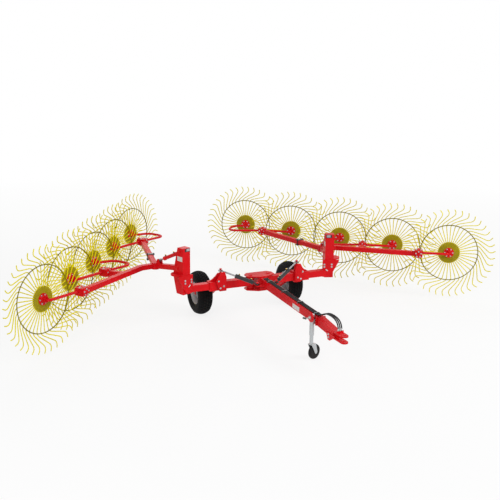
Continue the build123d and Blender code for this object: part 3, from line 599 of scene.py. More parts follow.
class Shop:
    """Puts finished meshes on the machine."""

    def __init__(self, paints: Paints) -> None:
        """Keeps the paints that meshes are dressed in."""
        self.paints = paints

    def put(self, name: str, data: Any, body: str, place: Optional[Matrix] = None,
            nodes: Sequence = ()) -> bpy.types.Object:
        """Places one piece.

        Args:
            name: the piece's name.
            data: its mesh or curve.
            body: the body it rides on.
            place: where it stands, or None where it is made in the machine's frame.
            nodes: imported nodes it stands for.

        Returns:
            The piece.
        """
        piece = bpy.data.objects.new(name, data)
        bpy.context.scene.collection.objects.link(piece)
        if place is not None:
            piece.matrix_world = place
        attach(piece, body)
        if nodes:
            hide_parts(*nodes)
        LOG.info("%s on %s", name, body)
        return piece

    def one(self, name: str, maker: Maker, body: str) -> bpy.types.Object:
        """Ends a mesh in the machine's frame and places it as one piece."""
        return self.put(name, maker.build(name, self.paints), body)

    def both(self, name: str, maker: Maker, body: str, place: Optional[Matrix] = None,
             nodes: Sequence = ()) -> None:
        """Places a left piece and its mirror image, with the other arguments of pair."""
        mesh = maker.build(name, self.paints)
        self.pair(name, mesh, mirrored(mesh), body, place, nodes)

    def pair(self, name: str, mesh: bpy.types.Mesh, twin: bpy.types.Mesh, body: str,
             place: Optional[Matrix] = None, nodes: Sequence = ()) -> None:
        """Places a left mesh and its mirrored twin.

        Args:
            name: the piece's name without its side.
            mesh: the left mesh.
            twin: the right mesh.
            body: the body's name without its side.
            place: where the left one stands, or None.
            nodes: names of replaced nodes without their side.
        """
        for side in Side:
            own = mesh if side is Side.LEFT else twin
            where = place
            if place is not None and side is Side.RIGHT:
                where = FLIP_X @ place @ FLIP_X
            self.put(f"{name}_{side.suffix}", own, f"{body}_{side.suffix}", where,
                     [f"{node}_{side.suffix}" for node in nodes])


@dataclass
class Bank:
    """Where one bank's wheels and mast stand, on the left side, in metres.

    The lift's points are given in the mast's upright plane, by distance out from the foot and height.
    """

    first_hub: tuple = (3.140, -0.745, 0.750)
    hub_drop: float = 0.011
    plane_angle: float = 55.0
    pitch_along: float = 0.881
    pitch_back: float = 0.362
    wheels: int = 5
    clamped: tuple = (0, 1, 3)
    arm_reach: float = 0.473
    arm_stand: float = 0.222
    arm_rise: float = 0.026
    mast_foot: tuple = (1.160, -0.405)
    mast_angle: float = 20.0
    lift_hinge: tuple = (0.040, 0.850)
    lift_pivot: tuple = (-0.005, 1.098)
    lift_eye: tuple = (0.520, 0.862)

    def __post_init__(self) -> None:
        """Works out the bank's directions."""
        turn = math.radians(self.plane_angle)
        self.along = Vector((math.sin(turn), -math.cos(turn), 0))
        self.front = Vector((-math.cos(turn), -math.sin(turn), 0))
        lean = math.radians(self.mast_angle)
        self.out = Vector((math.sin(lean), math.cos(lean), 0))
        self.across = Vector((math.cos(lean), -math.sin(lean), 0))

    def hub(self, index: int) -> Vector:
        """The hub of a wheel, 0 at the front."""
        step = self.along * self.pitch_along + self.front * self.pitch_back + Z_AXIS * self.hub_drop
        return Vector(self.first_hub) - step * index

    def wheel_place(self, index: int) -> Matrix:
        """A wheel's place, with X along its plane and Z out of its front."""
        return axes(self.hub(index), self.along, self.front)

    def clamp(self, index: int, rise: float) -> Vector:
        """A point above or below the clamp of a wheel's arm."""
        reach = self.front * self.arm_stand - self.along * self.arm_reach
        return self.hub(index) + reach + Z_AXIS * (self.arm_rise + rise)

    def mast_point(self, out: float, height: float, across: float = 0.0) -> Vector:
        """A point in the mast's upright plane, or beside it."""
        return Vector((*self.mast_foot, height)) + self.out * out + self.across * across


@dataclass
class TineWheel:
    """A wheel of bent spring wires held between pressed plates."""

    bank: Bank
    tines: int = 40
    wire: float = 0.0068
    wire_sides: int = 6
    wire_root: float = 0.16
    bend_radius: float = 0.458
    leg: float = 0.283
    leg_angle: float = -66.0
    hook: float = 0.080
    hook_turn: float = 72.0
    lean: float = 0.055
    knee_share: float = 0.8
    bends: tuple = (0.060, 0.052)
    bend_steps: int = 6
    ring_radius: float = 0.44
    ring_wire: float = 0.0074
    ring_steps: int = 72
    # Radius and half thickness of the pressed plate, from its bore to its edge
    plate_side: tuple = ((0.0383, 0.006), (0.082, 0.006), (0.09, 0.0032), (0.164, 0.0032),
                         (0.17, 0.0022))
    rib: float = 0.0055
    rib_span: tuple = (0.086, 0.174)
    bolt_circle: float = 0.06
    bolts: int = 6
    bolt_radius: float = 0.0085
    flange_face: float = 0.016
    nut_face: float = -0.006

    def tine(self) -> list:
        """The middle line of one tine, whose leg and hook lean out of the wheel's plane."""
        leg, hook = math.radians(self.leg_angle), math.radians(self.leg_angle + self.hook_turn)
        rise = self.lean * self.knee_share
        shoulder = Vector((self.bend_radius, 0, 0))
        knee = shoulder + Vector((math.cos(leg) * self.leg, math.sin(leg) * self.leg, rise))
        tip = knee + Vector((math.cos(hook) * self.hook, math.sin(hook) * self.hook, self.lean - rise))
        return rounded([(self.wire_root, 0, 0), shoulder, knee, tip], self.bends, self.bend_steps)

    def mesh(self) -> Maker:
        """The wheel's wires, ring and pressed plate."""
        made = Maker()
        line = self.tine()
        rib = [X_AXIS * reach for reach in self.rib_span]
        for n in range(self.tines):
            turn = Matrix.Rotation(math.tau * n / self.tines, 4, "Z")
            made.tube([turn @ p for p in line], self.wire, YELLOW, self.wire_sides)
            # The ribs take the darker copy of the tine yellow: painted shade.
            made.tube([turn @ p for p in rib], self.rib, SHADED_PLATE_YELLOW, self.wire_sides)
        front = self.wire + self.ring_wire
        ring = [(x, y, front) for x, y in circle(self.ring_radius, self.ring_steps)]
        # The ring takes the darker copy of the tine yellow: painted shade.
        made.tube(ring, self.ring_wire, SHADED_RING_YELLOW, self.wire_sides, closed=True)
        # The pressed plate takes the darker copy of the tine yellow: painted shade.
        made.lathe(Matrix.Identity(4), doubled(self.plate_side), SHADED_PLATE_YELLOW, 60, closed=True)
        return made

    def fasteners(self) -> Maker:
        """The bolts round the hub's flange and the nuts behind the plate."""
        made = Maker()
        for face, out in ((self.flange_face, Z_AXIS), (self.nut_face, -Z_AXIS)):
            made.bolt_ring(axes(Z_AXIS * face, X_AXIS, out), self.bolt_circle, self.bolts, self.bolt_radius)
        return made

    def build(self, shop: Shop) -> None:
        """Puts every wheel on its hub."""
        wheel = self.mesh().build("tine_wires", shop.paints)
        bolts = self.fasteners().build("hub_bolts", shop.paints)
        wheel_twin, bolts_twin = mirrored(wheel), mirrored(bolts)
        for index in range(self.bank.wheels):
            place = self.bank.wheel_place(index)
            number = index + 1
            body = f"rake_wheel_{number}"
            shop.pair(f"tine_wires_{number}", wheel, wheel_twin, body, place,
                      [f"tine_wheel_{number}"])
            shop.pair(f"hub_bolts_{number}", bolts, bolts_twin, body, place)


@dataclass
class GroundWheel:
    """A block-tread tyre on a pressed steel rim."""

    centre: tuple = (0.741, 0.051, 0.322)
    radius: float = 0.322
    tread_half: float = 0.0915
    tread_steps: int = 8
    shoulder_drop: float = 0.032
    groove: float = 0.010
    pitches: int = 40
    rows: int = 5
    row_gap: float = 0.0035
    block_gap: float = 0.1
    block_slant: float = 0.16
    block_edge: float = 0.002
    # Radius and half width from the shoulder down the sidewall, round the bead and back inside
    sidewall: tuple = ((0.268, 0.1035), (0.244, 0.1075), (0.226, 0.1075), (0.222, 0.1045), (0.212, 0.1045),
                       (0.206, 0.1055), (0.190, 0.0975), (0.178, 0.0865), (0.168, 0.0815), (0.1653, 0.080),
                       (0.1653, 0.064), (0.228, 0.0915), (0.276, 0.060))
    # Radius and place across the rim of its well, its disc and its hub
    well: tuple = ((0.165, -0.080), (0.161, -0.0785), (0.153, -0.070), (0.145, -0.052), (0.139, -0.036),
                   (0.137, 0.036), (0.145, 0.052), (0.153, 0.070), (0.161, 0.0785), (0.165, 0.080),
                   (0.165, 0.073), (0.159, 0.066), (0.150, 0.050), (0.145, 0.034), (0.145, -0.034),
                   (0.150, -0.050), (0.159, -0.066), (0.165, -0.073))
    disc: tuple = ((0.142, 0.006), (0.128, 0.008), (0.116, 0.013), (0.100, 0.013), (0.088, 0.006),
                   (0.047, 0.006), (0.047, -0.004), (0.088, -0.004), (0.100, 0.003), (0.116, 0.003),
                   (0.128, -0.002), (0.142, -0.004))
    hub: tuple = ((0.0202, 0.060), (0.034, 0.060), (0.038, 0.056), (0.038, 0.026), (0.048, 0.018),
                  (0.048, -0.014), (0.040, -0.022), (0.040, -0.056), (0.036, -0.060), (0.0202, -0.060))
    nuts: int = 5
    nut_circle: float = 0.078
    nut_radius: float = 0.0105
    nut_face: float = 0.0055
    stud_radius: float = 0.008
    stud_face: float = -0.0035

    def place(self) -> Matrix:
        """The wheel's place, with Z along its axle."""
        return axes(self.centre, Y_AXIS, X_AXIS)

    def crown(self, z: float) -> float:
        """The tread's radius at a distance from the middle."""
        return self.radius - self.shoulder_drop * (z / self.tread_half) ** 2

    def tyre(self) -> Maker:
        """The carcass and its tread blocks."""
        made = Maker()
        steps = self.tread_steps
        tread = [self.tread_half * n / steps for n in range(-steps, steps + 1)]
        profile = [(self.crown(z) - self.groove, z) for z in tread]
        profile += doubled(self.sidewall)
        made.lathe(Matrix.Identity(4), profile, TYRE, 72, closed=True)
        row_width = 2 * self.tread_half / self.rows
        for row in range(self.rows):
            low = row * row_width - self.tread_half + self.row_gap
            high = low + row_width - 2 * self.row_gap
            for n in range(self.pitches):
                self.tread_block(made, low, high, n + 0.5 * (row % 2))
        return made

    def tread_block(self, made: Maker, low: float, high: float, step: float) -> None:
        """Adds one tread block.

        Args:
            made: the tyre.
            low: its near edge across the tread.
            high: its far edge.
            step: its place round the tyre, in pitches.
        """
        pitch = math.tau / self.pitches
        edge = self.block_edge
        slant = self.block_slant * pitch * (1 if low + high > 0 else -1)
        rings = []
        for sink, inset in ((self.groove + edge, 0.0), (edge, 0.0), (0.0, edge)):
            start = (step + self.block_gap) * pitch + inset / self.radius
            end = (step + 1 - self.block_gap) * pitch - inset / self.radius
            near, far = low + inset, high - inset
            corners = ((near, start), (near, end), (far, end + slant), (far, start + slant))
            reach = [(self.crown(z) - sink, z, t) for z, t in corners]
            rings.append([(r * math.cos(t), r * math.sin(t), z) for r, z, t in reach])
        made.loft(rings, TYRE)

    def rim(self) -> Maker:
        """The rim's well and dished disc with its hub and nuts."""
        made = Maker()
        for profile, segments in ((self.well, 64), (self.disc, 64), (self.hub, 40)):
            made.lathe(Matrix.Identity(4), profile, SILVER, segments, closed=True)
        for face, out, radius in ((self.nut_face, Z_AXIS, self.nut_radius),
                                  (self.stud_face, -Z_AXIS, self.stud_radius)):
            made.bolt_ring(axes(Z_AXIS * face, X_AXIS, out), self.nut_circle, self.nuts, radius)
        return made

    def build(self, shop: Shop) -> None:
        """Puts the tyres and rims on their axles."""
        shop.both("tread_tyre", self.tyre(), "ground_wheel", self.place(), ["tyre"])
        shop.both("steel_rim", self.rim(), "ground_wheel", self.place(), ["rim"])


@dataclass
class BankFittings:
    """Bolts, covers and small plates on the toolbars and their clamps."""

    bank: Bank
    clamp_low: float = -0.060
    clamp_high: float = 0.044
    clamp_half: float = 0.062
    bolt_inset: float = 0.62
    bolt_radius: float = 0.013
    # Radius and height of a cover's turned outline
    cover: tuple = ((0.060, 0.0), (0.060, 0.012), (0.054, 0.018), (0.026, 0.018), (0.020, 0.030))
    cover_face: float = 0.018
    cover_bolts: int = 5
    cover_circle: float = 0.041
    cover_bolt_radius: float = 0.0085
    cover_bolt_start: float = 0.25
    junction_out: float = 0.620
    toolbar_height: float = 0.766
    toolbar_half: float = 0.035
    tube_under: float = 0.016
    strap_share: float = 0.35
    strap: Plate = Plate(0.07, 0.12, 0.011, BLACK)
    stud_out: float = 0.013
    stud_radius: float = 0.0062
    stud_bolt: float = 0.0095

    def clamps(self) -> Maker:
        """The bolts on top of and below each clamp."""
        made = Maker()
        for index in self.bank.clamped:
            for sign in SIGNS:
                offset = self.bank.along * (self.clamp_half * self.bolt_inset * sign)
                for rise, out in ((self.clamp_high, Z_AXIS), (self.clamp_low, -Z_AXIS)):
                    seat = self.bank.clamp(index, rise) + offset
                    made.bolt(axes(seat, self.bank.along, out), self.bolt_radius)
        return made

    def covers(self) -> Maker:
        """The round bolted covers on the front and back of each clamp."""
        made = Maker()
        for index in self.bank.clamped:
            for sign in SIGNS:
                out = self.bank.front * sign
                seat = self.bank.clamp(index, -self.tube_under / 2) + out * self.clamp_half
                place = axes(seat, self.bank.along, out)
                made.lathe(place, self.cover, RED, 36)
                made.bolt_ring(raised(place, self.cover_face), self.cover_circle, self.cover_bolts,
                               self.cover_bolt_radius, self.cover_bolt_start)
        return made

    def tube_clamp(self) -> Maker:
        """The black clamp plates bolted round the rear tube."""
        made = Maker()
        start = self.bank.mast_point(self.junction_out, self.toolbar_height)
        end = self.bank.clamp(self.bank.clamped[-1], -self.tube_under)
        run = (end - start).normalized()
        middle = start + (end - start) * self.strap_share
        half = self.toolbar_half
        level = run.cross(Z_AXIS).normalized() * (half + self.stud_out)
        for sign in SIGNS:
            place = axes(middle + Z_AXIS * (sign * half), run, Z_AXIS * sign)
            made.plate(place, self.strap)
            for across in SIGNS:
                seat = middle + Z_AXIS * (sign * (half + self.strap.thick)) + level * across
                made.bolt(axes(seat, run, Z_AXIS * sign), self.stud_bolt, BLACK)
        for across in SIGNS:
            stud = middle + level * across
            made.tube([stud - Z_AXIS * half, stud + Z_AXIS * half], self.stud_radius, BLACK)
        return made

    def build(self, shop: Shop) -> None:
        """Puts the fittings on both banks."""
        shop.both("clamp_bolts", self.clamps(), "bank")
        shop.both("clamp_covers", self.covers(), "bank")
        shop.both("tube_clamp", self.tube_clamp(), "bank")


@dataclass
class WingFittings:
    """Bolts, pins, plates and caps on the wing arms and masts.

    What sits on the mast's front is given by distance across it and height, and what sits on its sides by
    distance out and height. The bracket and the fin are given by X and height.
    """

    bank: Bank
    mast_half: float = 0.065
    mast_front: float = -0.080
    steel: float = 0.014
    bolt_radius: float = 0.0105
    foot_outline: tuple = ((-0.100, 0.767), (-0.100, 0.505), (-0.020, 0.497), (0.021, 0.518),
                           (0.067, 0.592), (0.129, 0.711), (0.150, 0.767))
    foot_bolts: tuple = ((-0.073, 0.697), (-0.073, 0.660), (0.038, 0.697), (0.038, 0.660))
    foot_slot: tuple = ((-0.051, 0.623), (-0.021, 0.598))
    slot_radius: float = 0.009
    bracket_front: float = -0.502
    bracket_outline: tuple = ((0.548, 0.500), (0.655, 0.500), (0.705, 0.635), (0.632, 0.765),
                              (0.572, 0.765), (0.548, 0.690))
    bracket_bolts: tuple = ((0.668, 0.640), (0.590, 0.560), (0.640, 0.535))
    fin_middle: float = -0.430
    fin_half: float = 0.0125
    fin_outline: tuple = ((0.600, 0.620), (0.795, 0.604), (0.795, 0.622), (0.740, 0.650), (0.690, 0.690),
                          (0.650, 0.736), (0.600, 0.736))
    # Radius and height of a pin's turned end
    pin_end: tuple = ((0.022, 0.0), (0.022, 0.007), (0.017, 0.010))
    # A thin black plate on the mast's front that stands in for the shade of a recess: painted shade.
    recess_shade_patch: Plate = Plate(0.086, 0.046, 0.002, BLACK, 0.001)
    recess_shade_at: tuple = (-0.016, 1.124)
    cap: Plate = Plate(0.056, 0.034, 0.010, SILVER)
    cap_at: tuple = (-0.024, 1.128)
    label: Plate = Plate(0.105, 0.066, 0.0025, LABEL, 0.001)
    label_at: tuple = (-0.015, 1.000)

    def side(self, out: float, height: float, sign: int) -> Matrix:
        """A place on the mast's side, with Z out of it and Y up."""
        normal = self.bank.across * sign
        where = self.bank.mast_point(out, height, sign * self.mast_half)
        return axes(where, Z_AXIS.cross(normal), normal)

    def front(self, across: float, height: float) -> Matrix:
        """A place on the mast's front, with Z out of it and Y up."""
        where = self.bank.mast_point(self.mast_front, height, across)
        return axes(where, self.bank.across, -self.bank.out)

    def arm(self, x: float, y: float, height: float) -> Matrix:
        """A place on an upright face of the arm, with Z to the machine's front and Y up."""
        return axes((x, y, height), X_AXIS, -Y_AXIS)

    def bolts(self) -> Maker:
        """The bolts on the mast's foot and the arm's bracket, and the lift pins' ends."""
        made = Maker()
        for spot in self.foot_bolts:
            made.bolt(raised(self.front(*spot), self.steel), self.bolt_radius)
        ends = [raised(self.front(*spot), self.steel).translation for spot in self.foot_slot]
        made.tube(ends, self.slot_radius, ZINC)
        for x, height in self.bracket_bolts:
            made.bolt(self.arm(x, self.bracket_front - self.steel, height), self.bolt_radius)
        for pin in (self.bank.lift_hinge, self.bank.lift_pivot):
            for sign in SIGNS:
                made.lathe(self.side(*pin, sign), self.pin_end, RED, 20)
        return made

    def plates(self) -> Maker:
        """The red plates on the mast's foot, the arm's bracket and its fin."""
        made = Maker()
        made.prism(self.front(0.0, 0.0), self.foot_outline, 0.0, self.steel, RED)
        made.prism(self.arm(0, self.bracket_front, 0), self.bracket_outline, 0.0, self.steel, RED)
        made.prism(self.arm(0, self.fin_middle, 0), self.fin_outline, -self.fin_half, self.fin_half, RED)
        return made

    def labels(self) -> Maker:
        """The mast's pale cap on a black patch of painted shade where its recess is, and its blank labels.
        """
        made = Maker()
        # The black patch is painted shade for the recess under the cap.
        made.plate(self.front(*self.recess_shade_at), self.recess_shade_patch)
        made.plate(self.front(*self.cap_at), self.cap)
        for sign in SIGNS:
            made.plate(self.side(*self.label_at, sign), self.label)
        return made

    def build(self, shop: Shop) -> None:
        """Puts the fittings on both wings."""
        shop.both("mast_bolts", self.bolts(), "wing")
        shop.both("wing_plates", self.plates(), "wing")
        shop.both("mast_plates", self.labels(), "wing")


@dataclass(frozen=True)
class Barrel:
    """A cylinder's barrel: where it starts and ends from its pivot, its radius and its finish."""

    first: float
    last: float
    radius: float
    finish: Finish


@dataclass
class Cylinders:
    """Glands, end caps and ports on the hydraulic cylinders."""

    bank: Bank
    wing_base: tuple = (0.150, -0.690, 0.590)
    wing_eye: tuple = (0.6074, -0.4281, 0.7713)
    wing: Barrel = Barrel(0.060, 0.335, 0.028, BLACK)
    lift: Barrel = Barrel(0.160, 0.455, 0.026, RED)
    sleeve_start: float = 0.30
    # Start and end of each collar from its end of the barrel, and how far it stands out
    cap: tuple = (0.004, 0.026, 0.003)
    gland: tuple = (-0.034, -0.002, 0.004)
    cap_port: float = 0.045
    gland_port: float = -0.050
    # Radius and height of a port's turned outline
    port_boss: tuple = ((0.012, 0.0), (0.012, 0.016), (0.009, 0.018))
    port_top: float = 0.018
    port_sink: float = 0.003
    port_nut: float = 0.011

    def dress(self, made: Maker, start: Vector, end: Vector, barrel: Barrel) -> Matrix:
        """Adds the chamfered collars and the hose ports of one barrel.

        Args:
            made: the piece.
            start: the barrel's pivot.
            end: the rod's pivot.
            barrel: the barrel.

        Returns:
            The barrel's place, with Z along it and Y up.
        """
        run = end - start
        place = axes(start, Z_AXIS.cross(run), run)
        for foot, (low, high, proud) in ((barrel.first, self.cap), (barrel.last, self.gland)):
            radius = barrel.radius + proud
            slim = radius - PLATE_EDGE
            profile = [(slim, low), (radius, low + PLATE_EDGE), (radius, high - PLATE_EDGE), (slim, high)]
            made.lathe(raised(place, foot), profile, barrel.finish, 28)
        for along in (barrel.first + self.cap_port, barrel.last + self.gland_port):
            seat = place @ Matrix.Translation((0, barrel.radius - self.port_sink, along))
            seat = seat @ Matrix.Rotation(-math.pi / 2, 4, "X")
            made.lathe(seat, self.port_boss, BLACK, 14)
            made.bolt(raised(seat, self.port_top), self.port_nut, BRASS, washer=False)
        return place

    def build(self, shop: Shop) -> None:
        """Puts the fittings on the four barrels, and the outer sleeve on the lift's."""
        made = Maker()
        self.dress(made, Vector(self.wing_base), Vector(self.wing_eye), self.wing)
        shop.both("wing_glands", made, "wing_barrel")
        made = Maker()
        pivot, eye = (self.bank.mast_point(*spot) for spot in (self.bank.lift_pivot, self.bank.lift_eye))
        place = self.dress(made, pivot, eye, self.lift)
        sleeve = [(self.lift.radius, self.sleeve_start), (self.lift.radius, self.lift.last)]
        made.lathe(place, sleeve, self.lift.finish, 28)
        shop.both("lift_glands", made, "lift_barrel")


@dataclass
class Tongue:
    """Hoses, clips, plates and bolts on the tongue, hitch and jack."""

    root: tuple = (-0.570, 0.639)
    slope: float = 0.054 / 1.660
    half_width: float = 0.050
    hose_radius: float = 0.008
    hose_lanes: tuple = (-0.024, 0.0, 0.024)
    hose_length: float = 2.25
    hose_clear: float = 0.0003
    start_y: float = -0.640
    lift_y: float = -2.240
    crest: tuple = (-2.420, 0.697)
    end_y: float = -2.712
    shoulder_z: float = 0.675
    end_z: float = 0.556
    # Radius and height of a coupler's turned outline
    coupler: tuple = ((0.0095, 0.0), (0.0095, 0.030), (0.0085, 0.032))
    coupler_nut: float = 0.0125
    coupler_nut_height: float = 0.014
    coupler_edge: float = 0.001
    clip_places: tuple = (-0.80, -1.25, -1.70, -2.14)
    clip_room: float = 0.004
    clip_over: float = 0.003
    clip_foot: float = 0.016
    clip_bends: tuple = (0.004, 0.006, 0.006, 0.004)
    clip_half: float = 0.014
    clip_thin: float = 0.0015
    label: Plate = Plate(0.190, 0.062, 0.0025, LABEL, 0.001)
    label_y: float = -1.675
    label_drop: float = 0.068
    # Y and height of the lugs' corners and bolts
    lug_outline: tuple = ((-2.484, 0.482), (-2.529, 0.393), (-2.575, 0.391), (-2.662, 0.450),
                          (-2.700, 0.482))
    lug_bolts: tuple = ((-2.550, 0.468), (-2.554, 0.431))
    lug_bolt_radius: float = 0.011
    lug_face: float = 0.048
    lug_plate: float = 0.012
    centre_bolts: tuple = ((0.075, -0.453), (0.075, -0.518))
    centre_bolt_radius: float = 0.013
    centre_top: float = 0.640
    jack: tuple = (-0.122, -2.222, 0.585)
    # Radius and height of the jack disc's turned outline
    disc: tuple = ((0.062, 0.0), (0.062, 0.012), (0.056, 0.018), (0.030, 0.018))
    disc_face: float = 0.018
    disc_bolt: float = 0.017
    crank_line: tuple = ((0.0, 0.0, 0.030), (0.085, 0.040, 0.030), (0.150, 0.053, 0.030))
    crank_radius: float = 0.007
    grip_radius: float = 0.013

    def top(self, y: float) -> float:
        """The height of the tongue's top face."""
        return self.root[1] + (y - self.root[0]) * self.slope

    def route(self, x: float) -> list:
        """The control points of one hose."""
        rest = self.hose_radius + self.hose_clear
        reach = math.hypot(self.crest[0] - self.lift_y, self.crest[1] - self.top(self.lift_y) - rest)
        before = self.lift_y + reach
        lying = [(y, self.top(y) + rest) for y in (self.start_y, before, self.lift_y)]
        hanging = [self.crest, (self.end_y, self.shoulder_z), (self.end_y, self.end_z)]
        return [(x, y, z) for y, z in lying + hanging]

    def hose(self, shop: Shop, number: int, x: float) -> None:
        """Lays one hose from the centre frame to its coupler at the hitch.

        Args:
            shop: puts pieces on the machine.
            number: the hose's number.
            x: its lane on the tongue.
        """
        line = bpy.data.curves.new(f"hose_line_{number}", "CURVE")
        line.dimensions = "3D"
        line.bevel_depth = self.hose_radius
        line.bevel_resolution = 3
        line.use_fill_caps = True
        spline = line.splines.new("NURBS")
        points = self.route(x)
        spline.points.add(len(points) - 1)
        for knot, point in zip(spline.points, points):
            knot.co = (*point, 1.0)
        spline.order_u = 3
        spline.use_endpoint_u = True
        spline.resolution_u = 12
        line.materials.append(shop.paints.of(HOSE))
        made = Maker()
        place = axes(points[-1], X_AXIS, Z_AXIS)
        made.lathe(place, self.coupler, ZINC, 16)
        nut = circle(self.coupler_nut, 6)
        made.prism(place, nut, 0.0, self.coupler_nut_height, ZINC, self.coupler_edge)
        coupler = shop.one(f"hose_coupler_{number}", made, "chassis")
        piece = shop.put(f"hose_{number}", line, "chassis", nodes=["hoses"])

    def clips(self) -> Maker:
        """The clips that hold the hoses on the tongue."""
        made = Maker()
        half = max(self.hose_lanes) + self.hose_radius + self.clip_room
        rise = 2 * self.hose_radius + self.clip_over
        thin = self.clip_thin
        for y in self.clip_places:
            top = self.top(y)
            arch = [(-half - self.clip_foot, thin), (-half, thin), (-half, rise),
                    (half, rise), (half, thin), (half + self.clip_foot, thin)]
            line = rounded([(x, y, top + z) for x, z in arch], self.clip_bends, 2)
            corners = ((-self.clip_half, -thin), (self.clip_half, -thin), (self.clip_half, thin),
                       (-self.clip_half, thin))
            made.loft([[p + Vector((0, dy, dz)) for dy, dz in corners] for p in line], BLACK)
        return made

    def labels(self) -> Maker:
        """The blank plates on the tongue's sides."""
        made = Maker()
        y = self.label_y
        middle = self.top(y) - self.label_drop
        for sign in SIGNS:
            place = axes((sign * self.half_width, y, middle), (0, -sign, -sign * self.slope), X_AXIS * sign)
            made.plate(place, self.label)
        return made

    def lugs(self) -> Maker:
        """The bolted lugs on the hitch's sides and the bolts on the centre plate."""
        made = Maker()
        for sign in SIGNS:
            place = axes(X_AXIS * (sign * self.lug_face), Y_AXIS * sign, X_AXIS * sign)
            made.prism(place, [(sign * y, z) for y, z in self.lug_outline], 0.0, self.lug_plate, RED)
            for y, z in self.lug_bolts:
                seat = (sign * (self.lug_face + self.lug_plate), y, z)
                made.bolt(axes(seat, Y_AXIS, X_AXIS * sign), self.lug_bolt_radius)
            for x, y in self.centre_bolts:
                made.bolt(axes((sign * x, y, self.centre_top), X_AXIS, Z_AXIS), self.centre_bolt_radius)
        return made

    def crank(self) -> Maker:
        """The jack's swivel disc and its crank with a black grip."""
        made = Maker()
        place = axes(self.jack, Y_AXIS, -X_AXIS)
        made.lathe(place, self.disc, RED, 36)
        made.bolt(raised(place, self.disc_face), self.disc_bolt)
        hub, elbow, end = (place @ Vector(point) for point in self.crank_line)
        made.tube([hub, elbow], self.crank_radius, ZINC)
        made.tube([elbow, end], self.grip_radius, BLACK, 12)
        return made

    def build(self, shop: Shop) -> None:
        """Puts the tongue's fittings on the chassis."""
        for number, x in enumerate(self.hose_lanes, 1):
            self.hose(shop, number, x)
        shop.one("hose_clips", self.clips(), "chassis")
        shop.one("tongue_plates", self.labels(), "chassis")
        shop.one("hitch_lugs", self.lugs(), "chassis")
        shop.one("jack_crank", self.crank(), "chassis")


@dataclass(frozen=True)
class Lamp:
    """A soft square lamp: its name, where it hangs, its side in metres and its power in watts."""

    name: str
    where: tuple
    size: float
    power: float


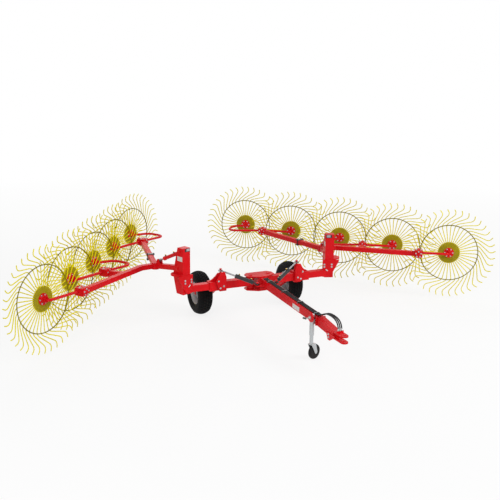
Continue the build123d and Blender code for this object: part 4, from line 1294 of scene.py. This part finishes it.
@dataclass
class Studio:
    """The floor, lights and camera, whose frame is given in pixels of the photograph."""

    eye: tuple = (-4.695, -10.315, 3.811)
    azimuth: float = -24.70
    elevation: float = 15.62
    roll: float = 0.79
    focal_pixels: float = 786.0
    frame_pixels: float = 500.0
    centre_row: float = 267.3
    sensor: float = 36.0
    view_end: float = 200.0
    floor_half: float = 60.0
    floor_tones: tuple = (0.86, 0.90)
    floor_scale: float = 0.8
    floor_glow: float = 0.83
    fade_start: float = 4.5
    fade_end: float = 13.0
    sky: float = 0.45
    aim: tuple = (0.0, 0.0, 0.6)
    lamps: tuple = (Lamp("key", (7.0, -8.0, 7.5), 5.0, 620.0), Lamp("fill", (-7.0, -7.0, 6.0), 6.0, 300.0),
                    Lamp("rear", (1.0, 9.0, 7.0), 6.0, 240.0))

    def floor(self) -> None:
        """Lays the pale floor, which keeps the machine's shadow."""
        graph = ShaderGraph(bpy.data.materials.new("pale_floor"))
        low, high = (colour(tone, tone, tone) for tone in self.floor_tones)
        tone = graph.mix(graph.noise(self.floor_scale, 2.0), low, high)
        ground = graph.node("ShaderNodeBsdfDiffuse", None, {"Color": tone})
        glow = graph.node("ShaderNodeEmission", None, {"Color": colour(1, 1, 1), "Strength": 1.0})
        away = graph.node("ShaderNodeVectorMath", {"operation": "LENGTH"}, {0: graph.place()}, "Value")
        faded = self.floor_glow + (1 - self.floor_glow) * graph.band(away, self.fade_start, self.fade_end)
        mixed = graph.node("ShaderNodeMixShader", None, {0: graph.seen() * faded, 1: ground, 2: glow})
        mesh = bpy.data.meshes.new("floor")
        half = self.floor_half
        mesh.from_pydata([(-half, -half, 0), (half, -half, 0), (half, half, 0), (-half, half, 0)], [],
                         [(0, 1, 2, 3)])
        mesh.materials.append(graph.close(mixed))
        piece = bpy.data.objects.new("floor", mesh)
        bpy.context.scene.collection.objects.link(piece)

    def world(self) -> None:
        """Lights the scene from all round, white where it is seen."""
        graph = ShaderGraph(bpy.data.worlds.new("studio"))
        strength = self.sky + (1 - self.sky) * graph.seen()
        sky = graph.node("ShaderNodeBackground", None, {"Color": colour(1, 1, 1), "Strength": strength})
        bpy.context.scene.world = graph.close(sky, "ShaderNodeOutputWorld")

    def light(self, lamp: Lamp) -> None:
        """Hangs one soft lamp that faces the machine."""
        data = bpy.data.lights.new(lamp.name, "AREA")
        data.shape = "SQUARE"
        data.size = lamp.size
        data.energy = lamp.power
        made = bpy.data.objects.new(lamp.name, data)
        made.location = lamp.where
        made.rotation_euler = (Vector(self.aim) - Vector(lamp.where)).to_track_quat("-Z", "Y").to_euler()
        bpy.context.scene.collection.objects.link(made)

    def camera(self) -> None:
        """Sets up the camera at the picture's place."""
        data = bpy.data.cameras.new("camera")
        data.sensor_width = self.sensor
        data.lens = self.focal_pixels / self.frame_pixels * self.sensor
        data.shift_y = (self.centre_row - self.frame_pixels / 2) / self.frame_pixels
        data.clip_end = self.view_end
        camera = bpy.data.objects.new("camera", data)
        place = Matrix.Translation(self.eye)
        for angle, axis in ((self.azimuth, "Z"), (90.0 - self.elevation, "X"), (self.roll, "Z")):
            place = place @ Matrix.Rotation(math.radians(angle), 4, axis)
        camera.matrix_world = place
        bpy.context.scene.collection.objects.link(camera)
        bpy.context.scene.camera = camera

    def build(self) -> None:
        """Builds the whole stage."""
        self.floor()
        self.world()
        for lamp in self.lamps:
            self.light(lamp)
        self.camera()
        bpy.context.scene.view_settings.view_transform = "Standard"


def dress_nodes(paints: Paints) -> None:
    """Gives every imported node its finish."""
    by_slot = {f.slot: f for f in (RED, YELLOW, BLACK, SILVER, CHROME, ZINC, TYRE, CASTER, HOSE)}
    for part in frame["record"]["subparts"]:
        paints.node(part["node"], by_slot[part["material_slot"]])


def main() -> None:
    """Builds the machine's looks and reports each piece."""
    logging.basicConfig(level=logging.INFO, format="%(message)s")
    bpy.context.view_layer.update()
    paints = Paints()
    dress_nodes(paints)
    shop = Shop(paints)
    bank = Bank()
    Studio().build()
    Tongue().build(shop)
    TineWheel(bank).build(shop)
    GroundWheel().build(shop)
    BankFittings(bank).build(shop)
    WingFittings(bank).build(shop)
    Cylinders(bank).build(shop)


if __name__ == "__main__":
    main()
